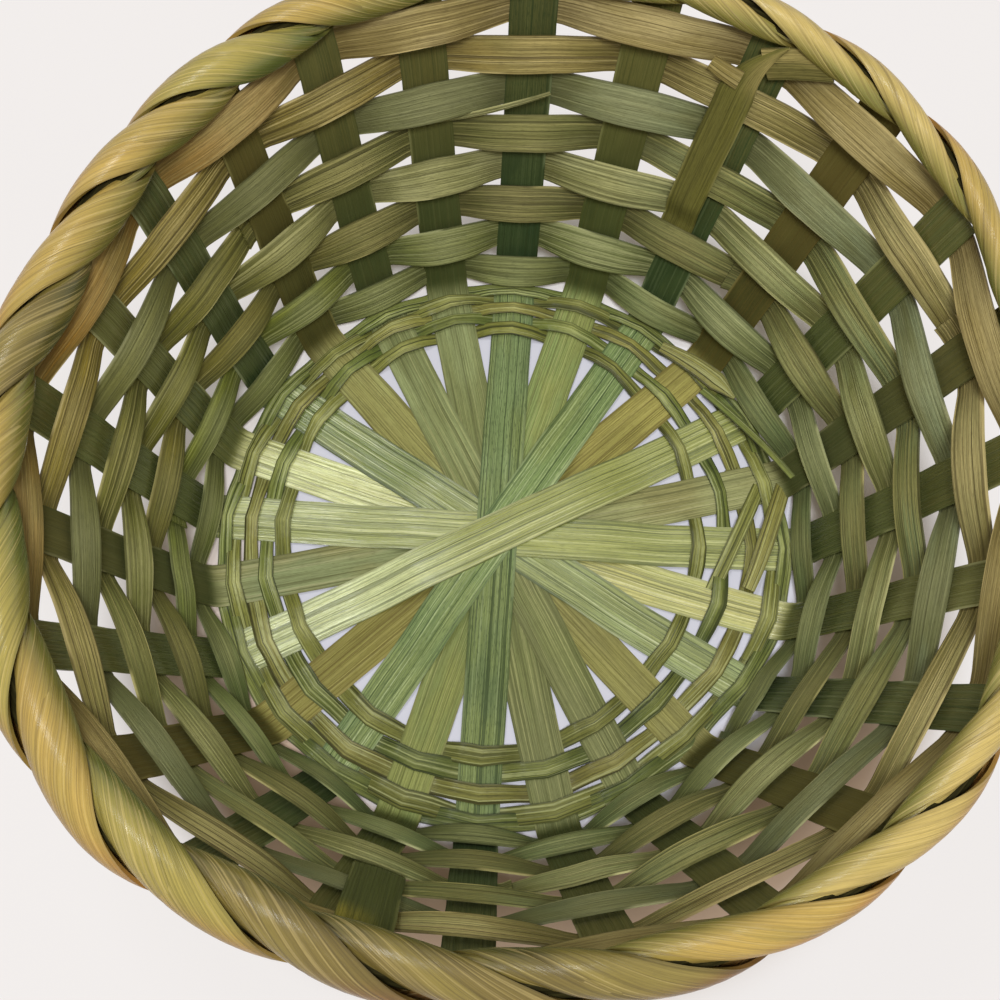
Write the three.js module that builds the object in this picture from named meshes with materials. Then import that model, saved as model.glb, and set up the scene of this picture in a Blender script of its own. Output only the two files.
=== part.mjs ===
// Round split-bamboo basket: crossing base strips that rise as stakes, woven wall rows,
// base binding rows and a rolled rope border. Millimetres, +Z up, resting plane at Z = 0.
import * as THREE from "three";

// Overall sizes
const RIM_DIAMETER = 210;
const BASE_DIAMETER = 136;
const OVERALL_HEIGHT = 93;
const RIM_ROPE_DIAMETER = 12;
const RIM_CORE_DIAMETER = 7;
const CORNER_BEND_RADIUS = 3;

// Strip sizes
const STRIP_THICKNESS = 0.45;
const STAKE_WIDTH = 10;
const TAIL_WIDTH = 8;
const BINDING_WIDTH = 3.6;
const ROW_BOW = 0.6;
const STRAND_CROWN = 1.1;

// Clearances
const LAY_GAP = 0.16;
const ROW_GAP = 0.5;
const BINDING_GAP = 0.35;
const STRAND_GAP = 0.5;
const RIM_GAP = 0.3;
const PASS_MARGIN = 0.7;

// Counts and angles
const STAKE_COUNT = 24;
const ROW_COUNT = 8;
const BINDING_ROWS = 4;
const FIRST_STAKE_ANGLE = 86;
const BORDER_LAY_ANGLE = 28;

// Order of the crossing strips at the middle of the base, lowest first in each layer
const LOWER_LAYER = [1, 3, 5, 7, 9, 11];
const UPPER_LAYER = [10, 8, 6, 0, 2, 4];

// Stake at which the two ends of each wall row overlap, from the base up
const ROW_LAP_STAKES = [9, 18, 3, 12, 21, 16, 5, 14];

// Stake at which the two ends of each binding row overlap, from the middle out
const BINDING_LAP_STAKES = [7, 6, 5, 8];

// Border ends folded down inside the wall: stake they lie on and row they tuck behind
const FOLDED_TAILS = [
  { name: "folded_tail_back", stake: 2, row: 2 },
  { name: "folded_tail_front", stake: 13, row: 3 },
];

const DEGREE = Math.PI / 180;
const STEP_ANGLE = 360 / STAKE_COUNT;
const STRIP_COUNT = STAKE_COUNT / 2;
const LAYER_PITCH = STRIP_THICKNESS + LAY_GAP;

// Levels of the base: under passes rest on the table, stakes lie on them
const UNDER_LEVEL = STRIP_THICKNESS / 2;
const STAKE_LEVEL = UNDER_LEVEL + LAYER_PITCH;

// Wall line in the upright half plane, from the corner of the base to the rope centre
const ROPE_RADIUS = RIM_ROPE_DIAMETER / 2;
const CORE_RADIUS = RIM_CORE_DIAMETER / 2;
const CORNER_RADIUS = BASE_DIAMETER / 2;
const RIM_RADIUS = RIM_DIAMETER / 2 - ROPE_RADIUS;
const RIM_LEVEL = OVERALL_HEIGHT - ROPE_RADIUS;
const WALL_RUN = RIM_RADIUS - CORNER_RADIUS;
const WALL_RISE = RIM_LEVEL - STAKE_LEVEL;
const WALL_LENGTH = Math.hypot(WALL_RUN, WALL_RISE);
const WALL_ANGLE = Math.atan2(WALL_RISE, WALL_RUN);
const BEND_LENGTH = CORNER_BEND_RADIUS * Math.tan(WALL_ANGLE / 2);

// Wall rows share the wall between the bend and the underside of the rope
const ROWS_START = BEND_LENGTH + LAY_GAP;
const ROWS_END = WALL_LENGTH - ROPE_RADIUS - RIM_GAP;
const ROW_PITCH = (ROWS_END - ROWS_START) / ROW_COUNT;
const WEAVER_WIDTH = ROW_PITCH - ROW_GAP;

// Binding rows fill the flat ring of the base from the bend inward
const BINDING_END = CORNER_RADIUS - BEND_LENGTH - LAY_GAP;
const BINDING_PITCH = BINDING_WIDTH + BINDING_GAP;
const BINDING_START = BINDING_END - BINDING_ROWS * BINDING_PITCH;

// Half length of the flat pass of a weaver over a stake
const PASS_HALF = STAKE_WIDTH / 2 + PASS_MARGIN;

// Inside the stakes a row bows off the wall, with room for a tucked tail behind it
const INSIDE_PUSH = 2 * LAYER_PITCH + ROW_BOW;

// Finishes
const FINISHES = {
  stake_green: { colour: 0x6f7a48, roughness: 0.55 },
  weaver_olive: { colour: 0x9a8a52, roughness: 0.6 },
  binding_olive: { colour: 0x86804a, roughness: 0.6 },
  border_straw: { colour: 0xcdb479, roughness: 0.5 },
};

const materials = {};
for (const [name, finish] of Object.entries(FINISHES)) {
  materials[name] = new THREE.MeshStandardMaterial({
    name,
    color: finish.colour,
    roughness: finish.roughness,
    metalness: 0,
  });
}

const stakeAngle = (index) => (FIRST_STAKE_ANGLE - index * STEP_ANGLE) * DEGREE;

// Unit vectors of a stake's upright plane: outward, and clockwise seen from above
const outward = (angle) => new THREE.Vector3(Math.cos(angle), Math.sin(angle), 0);
const clockwise = (angle) => new THREE.Vector3(Math.sin(angle), -Math.cos(angle), 0);

// Point from radius and height in the upright plane at an angle, moved sideways
function planePoint(angle, radius, height, sideways = 0) {
  const point = outward(angle).multiplyScalar(radius);
  point.addScaledVector(clockwise(angle), sideways);
  point.z = height;
  return point;
}

// Closed thin solid between two grids of points, one grid for each face
function slab(faceA, faceB) {
  const rows = faceA.length;
  const columns = faceA[0].length;
  const positions = [];
  const addTriangle = (a, b, c) => positions.push(...a.toArray(), ...b.toArray(), ...c.toArray());
  const addQuad = (a, b, c, d) => {
    addTriangle(a, b, c);
    addTriangle(a, c, d);
  };
  for (let i = 0; i + 1 < rows; i += 1) {
    for (let j = 0; j + 1 < columns; j += 1) {
      addQuad(faceA[i][j], faceA[i + 1][j], faceA[i + 1][j + 1], faceA[i][j + 1]);
      addQuad(faceB[i][j], faceB[i][j + 1], faceB[i + 1][j + 1], faceB[i + 1][j]);
    }
    const last = columns - 1;
    addQuad(faceA[i][0], faceB[i][0], faceB[i + 1][0], faceA[i + 1][0]);
    addQuad(faceA[i][last], faceA[i + 1][last], faceB[i + 1][last], faceB[i][last]);
  }
  const end = rows - 1;
  for (let j = 0; j + 1 < columns; j += 1) {
    addQuad(faceA[0][j], faceA[0][j + 1], faceB[0][j + 1], faceB[0][j]);
    addQuad(faceA[end][j], faceB[end][j], faceB[end][j + 1], faceA[end][j + 1]);
  }
  return outwardGeometry(positions);
}

// Geometry from loose triangles, turned over when its faces look inward
function outwardGeometry(positions) {
  let volume = 0;
  const a = new THREE.Vector3();
  const b = new THREE.Vector3();
  const c = new THREE.Vector3();
  for (let i = 0; i < positions.length; i += 9) {
    a.fromArray(positions, i);
    b.fromArray(positions, i + 3);
    c.fromArray(positions, i + 6);
    volume += a.dot(b.cross(c));
  }
  const ordered = [...positions];
  if (volume < 0) {
    for (let i = 0; i < ordered.length; i += 9) {
      for (let k = 0; k < 3; k += 1) {
        const held = ordered[i + 3 + k];
        ordered[i + 3 + k] = ordered[i + 6 + k];
        ordered[i + 6 + k] = held;
      }
    }
  }
  const geometry = new THREE.BufferGeometry();
  geometry.setAttribute("position", new THREE.Float32BufferAttribute(ordered, 3));
  geometry.computeVertexNormals();
  return geometry;
}

const basket = new THREE.Group();
basket.name = "split_bamboo_basket";

function addPiece(name, geometry, finish) {
  const mesh = new THREE.Mesh(geometry, materials[finish]);
  mesh.name = name;
  basket.add(mesh);
}

const smooth = (t) => {
  const x = Math.min(Math.max(t, 0), 1);
  return x * x * (3 - 2 * x);
};

// Radii inside which neighbouring strips, and strips two apart, lie over each other
const NEIGHBOUR_RADIUS = (STAKE_WIDTH / 2 + LAY_GAP) / Math.tan((STEP_ANGLE / 2) * DEGREE);
const LAYER_RADIUS = (STAKE_WIDTH / 2 + LAY_GAP) / Math.tan(STEP_ANGLE * DEGREE);

// Height of a base strip at a distance from the middle
function stripLevel(strip, radius) {
  const upper = UPPER_LAYER.indexOf(strip);
  const climb = smooth((NEIGHBOUR_RADIUS - radius) / (NEIGHBOUR_RADIUS - LAYER_RADIUS));
  const part = smooth((BINDING_START - LAY_GAP - radius) / (BINDING_START - LAY_GAP - NEIGHBOUR_RADIUS));
  if (upper < 0) {
    return STAKE_LEVEL + LOWER_LAYER.indexOf(strip) * LAYER_PITCH * climb;
  }
  const below = LOWER_LAYER.length - 1;
  return STAKE_LEVEL + LAYER_PITCH * part + (below + upper) * LAYER_PITCH * climb;
}

// Half of a strip's path as radius, height and surface tilt, from the middle to the rope
function halfPath(strip) {
  const path = [];
  const flatEnd = CORNER_RADIUS - BEND_LENGTH;
  const radii = [0, LAYER_RADIUS];
  for (let i = 1; i <= 5; i += 1) {
    radii.push(LAYER_RADIUS + ((NEIGHBOUR_RADIUS - LAYER_RADIUS) * i) / 5);
  }
  for (let i = 1; i <= 3; i += 1) {
    radii.push(NEIGHBOUR_RADIUS + ((BINDING_START - LAY_GAP - NEIGHBOUR_RADIUS) * i) / 3);
  }
  for (const radius of radii) {
    path.push({ radius, height: stripLevel(strip, radius), tilt: 0 });
  }
  const bendSteps = 3;
  for (let i = 0; i <= bendSteps; i += 1) {
    const tilt = (WALL_ANGLE * i) / bendSteps;
    path.push({
      radius: flatEnd + CORNER_BEND_RADIUS * Math.sin(tilt),
      height: STAKE_LEVEL + CORNER_BEND_RADIUS * (1 - Math.cos(tilt)),
      tilt,
    });
  }
  const top = WALL_LENGTH - CORE_RADIUS - RIM_GAP;
  path.push({
    radius: CORNER_RADIUS + top * Math.cos(WALL_ANGLE),
    height: STAKE_LEVEL + top * Math.sin(WALL_ANGLE),
    tilt: WALL_ANGLE,
  });
  return path;
}

// Crossing strips: up one wall, over the base and up the opposite wall
for (let strip = 0; strip < STRIP_COUNT; strip += 1) {
  const faceUp = [];
  const faceDown = [];
  const half = halfPath(strip);
  const angle = stakeAngle(strip);
  const addSection = (point, side) => {
    const lean = Math.sin(point.tilt) * (STRIP_THICKNESS / 2);
    const rise = Math.cos(point.tilt) * (STRIP_THICKNESS / 2);
    const up = [];
    const down = [];
    for (const edge of [-STAKE_WIDTH / 2, STAKE_WIDTH / 2]) {
      up.push(planePoint(angle, side * (point.radius - lean), point.height + rise, edge));
      down.push(planePoint(angle, side * (point.radius + lean), point.height - rise, edge));
    }
    faceUp.push(up);
    faceDown.push(down);
  };
  for (const point of [...half].reverse()) {
    addSection(point, 1);
  }
  for (const point of half.slice(1)) {
    addSection(point, -1);
  }
  const label = String(strip + 1).padStart(2, "0");
  addPiece(`stake_strip_${label}`, slab(faceUp, faceDown), "stake_green");
}

// Point of the wall at a length up from the corner, pushed outward from the stake's middle
function wallPoint(angle, length, push, sideways) {
  const radius = CORNER_RADIUS + length * Math.cos(WALL_ANGLE) + push * Math.sin(WALL_ANGLE);
  const height = STAKE_LEVEL + length * Math.sin(WALL_ANGLE) - push * Math.cos(WALL_ANGLE);
  return planePoint(angle, radius, height, sideways);
}

// Wall rows: each strip goes once round, inside and outside the stakes by turns
for (let row = 0; row < ROW_COUNT; row += 1) {
  const middle = ROWS_START + (row + 0.5) * ROW_PITCH;
  const edges = [middle - WEAVER_WIDTH / 2, middle + WEAVER_WIDTH / 2];
  const faceIn = [];
  const faceOut = [];
  const start = ROW_LAP_STAKES[row % ROW_LAP_STAKES.length];
  const first = (row + start) % 2 === 0 ? start + 1 : start;
  for (let pass = 0; pass <= STAKE_COUNT; pass += 1) {
    const inside = (row + first + pass) % 2 === 0;
    const lap = pass === STAKE_COUNT ? LAYER_PITCH : 0;
    const push = inside ? -INSIDE_PUSH : LAYER_PITCH + lap;
    const angle = stakeAngle(first + pass);
    for (const sideways of [-PASS_HALF, PASS_HALF]) {
      faceIn.push(edges.map((at) => wallPoint(angle, at, push - STRIP_THICKNESS / 2, sideways)));
      faceOut.push(edges.map((at) => wallPoint(angle, at, push + STRIP_THICKNESS / 2, sideways)));
    }
  }
  addPiece(`wall_row_${row + 1}`, slab(faceIn, faceOut), "weaver_olive");
}

// Binding rows of the base: narrow strips over and under the stakes by turns
for (let row = 0; row < BINDING_ROWS; row += 1) {
  const middle = BINDING_START + (row + 0.5) * BINDING_PITCH;
  const edges = [middle - BINDING_WIDTH / 2, middle + BINDING_WIDTH / 2];
  const faceTop = [];
  const faceBottom = [];
  const start = BINDING_LAP_STAKES[row % BINDING_LAP_STAKES.length];
  const first = (row + start) % 2 === 0 ? start : start + 1;
  for (let pass = 0; pass <= STAKE_COUNT; pass += 1) {
    const over = (row + first + pass) % 2 === 0;
    const lap = pass === STAKE_COUNT ? LAYER_PITCH : 0;
    const height = STAKE_LEVEL + (over ? LAYER_PITCH + lap : -LAYER_PITCH);
    const angle = stakeAngle(first + pass);
    for (const sideways of [-PASS_HALF, PASS_HALF]) {
      faceTop.push(edges.map((at) => planePoint(angle, at, height + STRIP_THICKNESS / 2, sideways)));
      faceBottom.push(edges.map((at) => planePoint(angle, at, height - STRIP_THICKNESS / 2, sideways)));
    }
  }
  addPiece(`base_binding_${row + 1}`, slab(faceTop, faceBottom), "binding_olive");
}

// Folded tails: lie inside the wall and tuck between the stake and a row
for (const tail of FOLDED_TAILS) {
  const rowLow = ROWS_START + tail.row * ROW_PITCH;
  const tucked = rowLow + ROW_GAP;
  const inFront = rowLow + 2 * ROW_PITCH;
  const free = rowLow + ROW_PITCH;
  const path = [
    { length: tucked, push: -LAYER_PITCH },
    { length: free, push: -LAYER_PITCH },
    { length: inFront - ROW_GAP, push: -INSIDE_PUSH - LAYER_PITCH },
    { length: ROWS_END, push: -INSIDE_PUSH - LAYER_PITCH },
  ];
  const angle = stakeAngle(tail.stake);
  const sides = [-TAIL_WIDTH / 2, TAIL_WIDTH / 2];
  const face = (shift) =>
    path.map((point) => sides.map((side) => wallPoint(angle, point.length, point.push + shift, side)));
  const geometry = slab(face(-STRIP_THICKNESS / 2), face(STRIP_THICKNESS / 2));
  addPiece(tail.name, geometry, "stake_green");
}

// Point of the rope border: angle round the basket, angle round the rope, distance from its centre
function ropePoint(angle, turn, distance) {
  const radius = RIM_RADIUS + distance * Math.cos(turn);
  return planePoint(angle, radius, RIM_LEVEL + distance * Math.sin(turn));
}

// Core of the border: the bundle that the outer strands wrap
addPiece("rim_core", coreGeometry(), "border_straw");

function coreGeometry() {
  const core = new THREE.TorusGeometry(RIM_RADIUS, CORE_RADIUS, 8, STAKE_COUNT * 2);
  core.rotateZ((FIRST_STAKE_ANGLE + STEP_ANGLE / 4) * DEGREE);
  core.translate(0, 0, RIM_LEVEL);
  return core;
}

// Border strands: one for each stake end, from the inside over the top to the outside.
// They leave a seam under the rope where the stakes come up.
const STRAND_INNER = CORE_RADIUS + RIM_GAP;
const STAKE_BOW = (STAKE_WIDTH * STAKE_WIDTH) / (8 * RIM_RADIUS);
const SEAM_HALF = (STRIP_THICKNESS / 2 + STAKE_BOW + RIM_GAP) / STRAND_INNER;
const SEAM_TURN = Math.PI + WALL_ANGLE;
const STRAND_STEPS = 10;
const STRAND_HALF = (STEP_ANGLE * DEGREE) / 2 - STRAND_GAP / 2 / RIM_RADIUS;

for (let strand = 0; strand < STAKE_COUNT; strand += 1) {
  const faceOuter = [];
  const faceInner = [];
  const begin = SEAM_TURN - SEAM_HALF;
  const sweep = 2 * Math.PI - 2 * SEAM_HALF;
  for (let i = 0; i <= STRAND_STEPS; i += 1) {
    const along = i / STRAND_STEPS;
    const turn = begin - sweep * along;
    const centre = stakeAngle(strand) + BORDER_LAY_ANGLE * DEGREE * along;
    const outer = [];
    const inner = [];
    for (const across of [-1, -0.45, 0.45, 1]) {
      const angle = centre + across * STRAND_HALF;
      outer.push(ropePoint(angle, turn, ROPE_RADIUS - STRAND_CROWN * across * across));
      inner.push(ropePoint(angle, turn, STRAND_INNER));
    }
    faceOuter.push(outer);
    faceInner.push(inner);
  }
  const label = String(strand + 1).padStart(2, "0");
  addPiece(`border_strand_${label}`, slab(faceOuter, faceInner), "border_straw");
}

export default basket;
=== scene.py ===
"""A round basket of split bamboo: crossed base strips, woven walls and a rolled rope border."""

import logging
import math
from collections.abc import Callable
from dataclasses import dataclass
from enum import Enum

import bpy
import numpy as np
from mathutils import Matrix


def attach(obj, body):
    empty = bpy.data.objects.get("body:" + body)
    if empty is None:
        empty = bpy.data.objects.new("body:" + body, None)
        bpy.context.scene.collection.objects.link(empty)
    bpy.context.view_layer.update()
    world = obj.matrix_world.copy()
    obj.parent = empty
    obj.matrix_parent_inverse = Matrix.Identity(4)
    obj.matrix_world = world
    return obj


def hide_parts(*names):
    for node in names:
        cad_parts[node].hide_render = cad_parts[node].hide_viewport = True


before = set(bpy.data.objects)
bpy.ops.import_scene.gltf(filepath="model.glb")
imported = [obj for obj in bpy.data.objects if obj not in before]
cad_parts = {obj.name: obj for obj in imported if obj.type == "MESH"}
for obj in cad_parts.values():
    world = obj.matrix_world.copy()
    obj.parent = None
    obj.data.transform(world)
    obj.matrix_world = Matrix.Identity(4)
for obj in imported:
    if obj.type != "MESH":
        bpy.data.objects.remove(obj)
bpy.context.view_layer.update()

log = logging.getLogger("basket")

Array = np.ndarray
Route = Callable[[Array, Array, Array], Array]
Tint = Callable[[Array, Array], Array]
Colour = tuple[int, int, int]
Place = tuple[float, float, float]
Socket = bpy.types.NodeSocket

BODY = "root"
STRIP_MAP = "strip_map"
TINT = "tint"
EDGE = "edge"
OTHER = "other"
CREST = "crest"
CENTIMETRES = 100.0


def ease(value: Array) -> Array:
    """A smooth step from 0 to 1 as the value goes from 0 to 1."""
    clipped = np.clip(value, 0.0, 1.0)
    return clipped * clipped * (3.0 - 2.0 * clipped)


def ramp(value: Array, start: float, length: float) -> Array:
    """A smooth step from 0 to 1 over a length past a start."""
    return ease((value - start) / length)


def linear(red: int, green: int, blue: int) -> tuple[float, float, float, float]:
    """Turns a colour in screen steps of 0 to 255 into Blender's linear values."""
    steps = (red / 255.0, green / 255.0, blue / 255.0)
    parts = [s / 12.92 if s <= 0.04045 else ((s + 0.055) / 1.055) ** 2.4 for s in steps]
    return (parts[0], parts[1], parts[2], 1.0)


class Drift:
    """A slow seeded wander, between about -1 and 1."""

    SHORTER = 0.83
    FAINTER = 0.7
    FULL = 0.75

    def __init__(self, rng: np.random.Generator, longest: float, waves: int) -> None:
        """Draws the waves of the wander.

        Args:
            rng: Seeded source of the phases.
            longest: Length of the longest wave, in the units of the place that is asked for.
            waves: How many waves are added up, each shorter and fainter than the one before.
        """
        self.lengths = longest / (1.0 + self.SHORTER * np.arange(waves))
        self.phases = rng.uniform(0.0, math.tau, waves)
        self.weights = 1.0 / (1.0 + self.FAINTER * np.arange(waves))
        self.weights /= self.weights.sum() * self.FULL

    def __call__(self, place: Array) -> Array:
        """The wander at each place."""
        turns = place[..., None] / self.lengths * math.tau + self.phases
        return (np.sin(turns) * self.weights).sum(axis=-1)


@dataclass(frozen=True)
class Stray:
    """A stretch of the weave that strays: its angle, its spread, and how far at base and rim."""

    angle: float
    spread: float
    base: float
    rim: float

    def __call__(self, angle: Array, risen: Array, flat: Array) -> Array:
        """How far the weave strays.

        Args:
            angle: Angle round the basket, in radians.
            risen: Share of the way from the base up to the rim.
            flat: Share of the way from the middle of the base out to its edge.

        Returns:
            The distance at each place.
        """
        off = np.remainder(angle - math.radians(self.angle) + math.pi, math.tau) - math.pi
        near = np.exp(-((off / math.radians(self.spread)) ** 2))
        return near * (self.base * (1.0 - risen) * flat * flat + self.rim * risen)


@dataclass(frozen=True)
class BasketSize:
    """Sizes that the whole basket shares, in metres and degrees.

    The dents move the weave out or in, and the slips and the drift move it along.
    """

    rim_diameter: float = 0.210
    base_diameter: float = 0.136
    height: float = 0.093
    rope_diameter: float = 0.012
    core_diameter: float = 0.007
    bend_radius: float = 0.003
    strip_thickness: float = 0.00045
    stake_width: float = 0.010
    lay_gap: float = 0.00016
    stake_count: int = 24
    row_count: int = 8
    first_stake_angle: float = 86.0
    rows_from: float = 0.45
    rows_under_rope: float = 0.62
    bend_reach: float = 0.94
    dents: tuple[Stray, ...] = (
        Stray(141.0, 27.0, 0.0, -0.0048), Stray(160.0, 13.0, 0.0, -0.0024), Stray(45.0, 32.0, 0.0, 0.0034),
        Stray(214.0, 20.0, 0.0, 0.0022), Stray(228.0, 9.0, 0.0, 0.0010), Stray(318.0, 26.0, 0.0, 0.0022),
        Stray(311.0, 24.0, -0.0030, 0.0), Stray(48.0, 28.0, -0.0014, 0.0), Stray(195.0, 46.0, 0.0021, 0.0),
        Stray(95.0, 22.0, -0.0006, 0.0))
    slips: tuple[Stray, ...] = (
        Stray(328.0, 46.0, -0.0020, -0.0042), Stray(131.0, 22.0, 0.0, 0.0027),
        Stray(346.0, 20.0, -0.0008, -0.0013), Stray(206.0, 20.0, 0.0004, 0.0010))
    weave_drift: tuple[float, float] = (-0.0028, 0.0020)

    @property
    def layer(self) -> float:
        """Height of one strip lying on another."""
        return self.strip_thickness + self.lay_gap

    @property
    def stake_level(self) -> float:
        """Height of the middle of a stake on the flat of the base."""
        return self.strip_thickness / 2.0 + self.layer

    @property
    def rope_radius(self) -> float:
        """Radius of the rope border."""
        return self.rope_diameter / 2.0

    @property
    def core_radius(self) -> float:
        """Radius of the bundle inside the rope border."""
        return self.core_diameter / 2.0

    @property
    def corner_radius(self) -> float:
        """Radius where the base meets the wall."""
        return self.base_diameter / 2.0

    @property
    def rim_radius(self) -> float:
        """Radius of the middle line of the rope border."""
        return self.rim_diameter / 2.0 - self.rope_radius

    @property
    def rim_level(self) -> float:
        """Height of the middle line of the rope border."""
        return self.height - self.rope_radius

    @property
    def wall_length(self) -> float:
        """Length of the sloping wall, from the corner to the middle of the rope."""
        return math.hypot(self.rim_radius - self.corner_radius, self.rim_level - self.stake_level)

    @property
    def wall_slope(self) -> float:
        """Slope of the wall above the table, in radians."""
        return math.atan2(self.rim_level - self.stake_level, self.rim_radius - self.corner_radius)

    @property
    def bend_length(self) -> float:
        """Distance from the corner to where the bend of a stake begins or ends."""
        return self.bend_radius * math.tan(self.wall_slope / 2.0)

    @property
    def rows_start(self) -> float:
        """Lower edge of the lowest row, up the wall."""
        return self.bend_length * self.rows_from

    @property
    def rows_end(self) -> float:
        """Upper edge of the highest row, up the wall, just under the rope."""
        return self.wall_length - self.rope_radius * self.rows_under_rope

    @property
    def row_pitch(self) -> float:
        """Distance from row to row, up the wall."""
        return (self.rows_end - self.rows_start) / self.row_count

    @property
    def stake_step(self) -> float:
        """Angle from stake to stake, in radians."""
        return math.tau / self.stake_count

    def row_centre(self, row: int) -> float:
        """Middle line of a row, up the wall."""
        return self.rows_start + (row + 0.5) * self.row_pitch

    def stake_angle(self, stake: Array | float) -> Array | float:
        """Angle of a stake, in radians; stakes are counted clockwise."""
        return math.radians(self.first_stake_angle) - np.asarray(stake) * self.stake_step

    def straying(self, strays: tuple[Stray, ...], angle: Array, radius: Array, height: Array) -> Array:
        """How far the hand-woven basket strays in all, at each place."""
        risen = ease(height / self.rim_level)
        flat = np.clip(np.abs(radius) / self.corner_radius, 0.0, 1.0)
        return sum((stray(angle, risen, flat) for stray in strays), np.zeros_like(risen))

    def corner_rise(self, radius: Array) -> Array:
        """How far the bend of a stake has risen at a distance from the axis."""
        past = np.clip(
            radius - self.corner_radius + self.bend_length, 0.0, self.bend_radius * self.bend_reach)
        return self.bend_radius - np.sqrt(self.bend_radius ** 2 - past ** 2)

    def around(self, angle: Array, radius: Array, height: Array, sideways: Array | float = 0.0) -> Array:
        """Points at an angle and radius, moved along the tangent sideways and by the drift of the weave.

        Args:
            angle: Angle round the basket, in radians.
            radius: Distance from the axis.
            height: Height above the table.
            sideways: Move along the tangent, clockwise.

        Returns:
            One row of x, y and z for each point.
        """
        turned = np.where(np.asarray(radius) < 0.0, math.pi, 0.0)
        along = self.straying(self.slips, angle + turned, radius, height) * np.cos(turned)
        right, back = self.weave_drift
        slip = sideways + right * np.sin(angle) - back * np.cos(angle) + along
        x = np.cos(angle) * radius + np.sin(angle) * slip
        y = np.sin(angle) * radius - np.cos(angle) * slip
        reach = np.maximum(np.hypot(x, y), self.corner_radius / 10.0)
        grow = 1.0 + self.straying(self.dents, np.arctan2(y, x), reach, height) / reach
        return np.stack(np.broadcast_arrays(x * grow, y * grow, height), axis=-1)

    def on_wall(self, angle: Array, length: Array, push: Array, sideways: Array | float = 0.0) -> Array:
        """Points on the sloping wall.

        Args:
            angle: Angle round the basket, in radians.
            length: Distance up the wall from the corner.
            push: Distance out of the wall's middle, outwards.
            sideways: Move along the tangent, clockwise.

        Returns:
            One row of x, y and z for each point.
        """
        slope = self.wall_slope
        radius = self.corner_radius + length * math.cos(slope) + push * math.sin(slope)
        height = self.stake_level + length * math.sin(slope) - push * math.cos(slope)
        return self.around(angle, radius, height, sideways)


SIZE = BasketSize()


@dataclass(frozen=True)
class Grain:
    """One pattern on a strip's face.

    It has its changes in a centimetre along and across the strip, a shift of its own, its finer
    layers, and the noise at which it starts to show and is full.
    """

    along: float
    across: float
    shift: float
    layers: float
    start: float
    full: float


FIBRES = Grain(0.20, 30.0, 1.3, 2.0, 0.54, 0.32)
FINE_LINES = Grain(1.00, 62.0, 7.9, 1.0, 0.52, 0.30)
DASHES = Grain(5.5, 40.0, 31.1, 2.0, 0.48, 0.30)
BROAD_BANDS = Grain(0.12, 5.0, 3.1, 1.0, 0.50, 0.26)
VEINS = Grain(0.06, 15.0, 11.7, 1.0, 0.62, 0.66)
STREAKS = Grain(0.11, 22.0, 17.3, 1.0, 0.54, 0.70)
BLOTCHES = Grain(0.36, 0.95, 23.9, 2.5, 0.40, 0.62)
BARE_AND_LIT_EDGES = Grain(0.30, 1.1, 41.3, 1.0, 0.54, 0.60)


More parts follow.
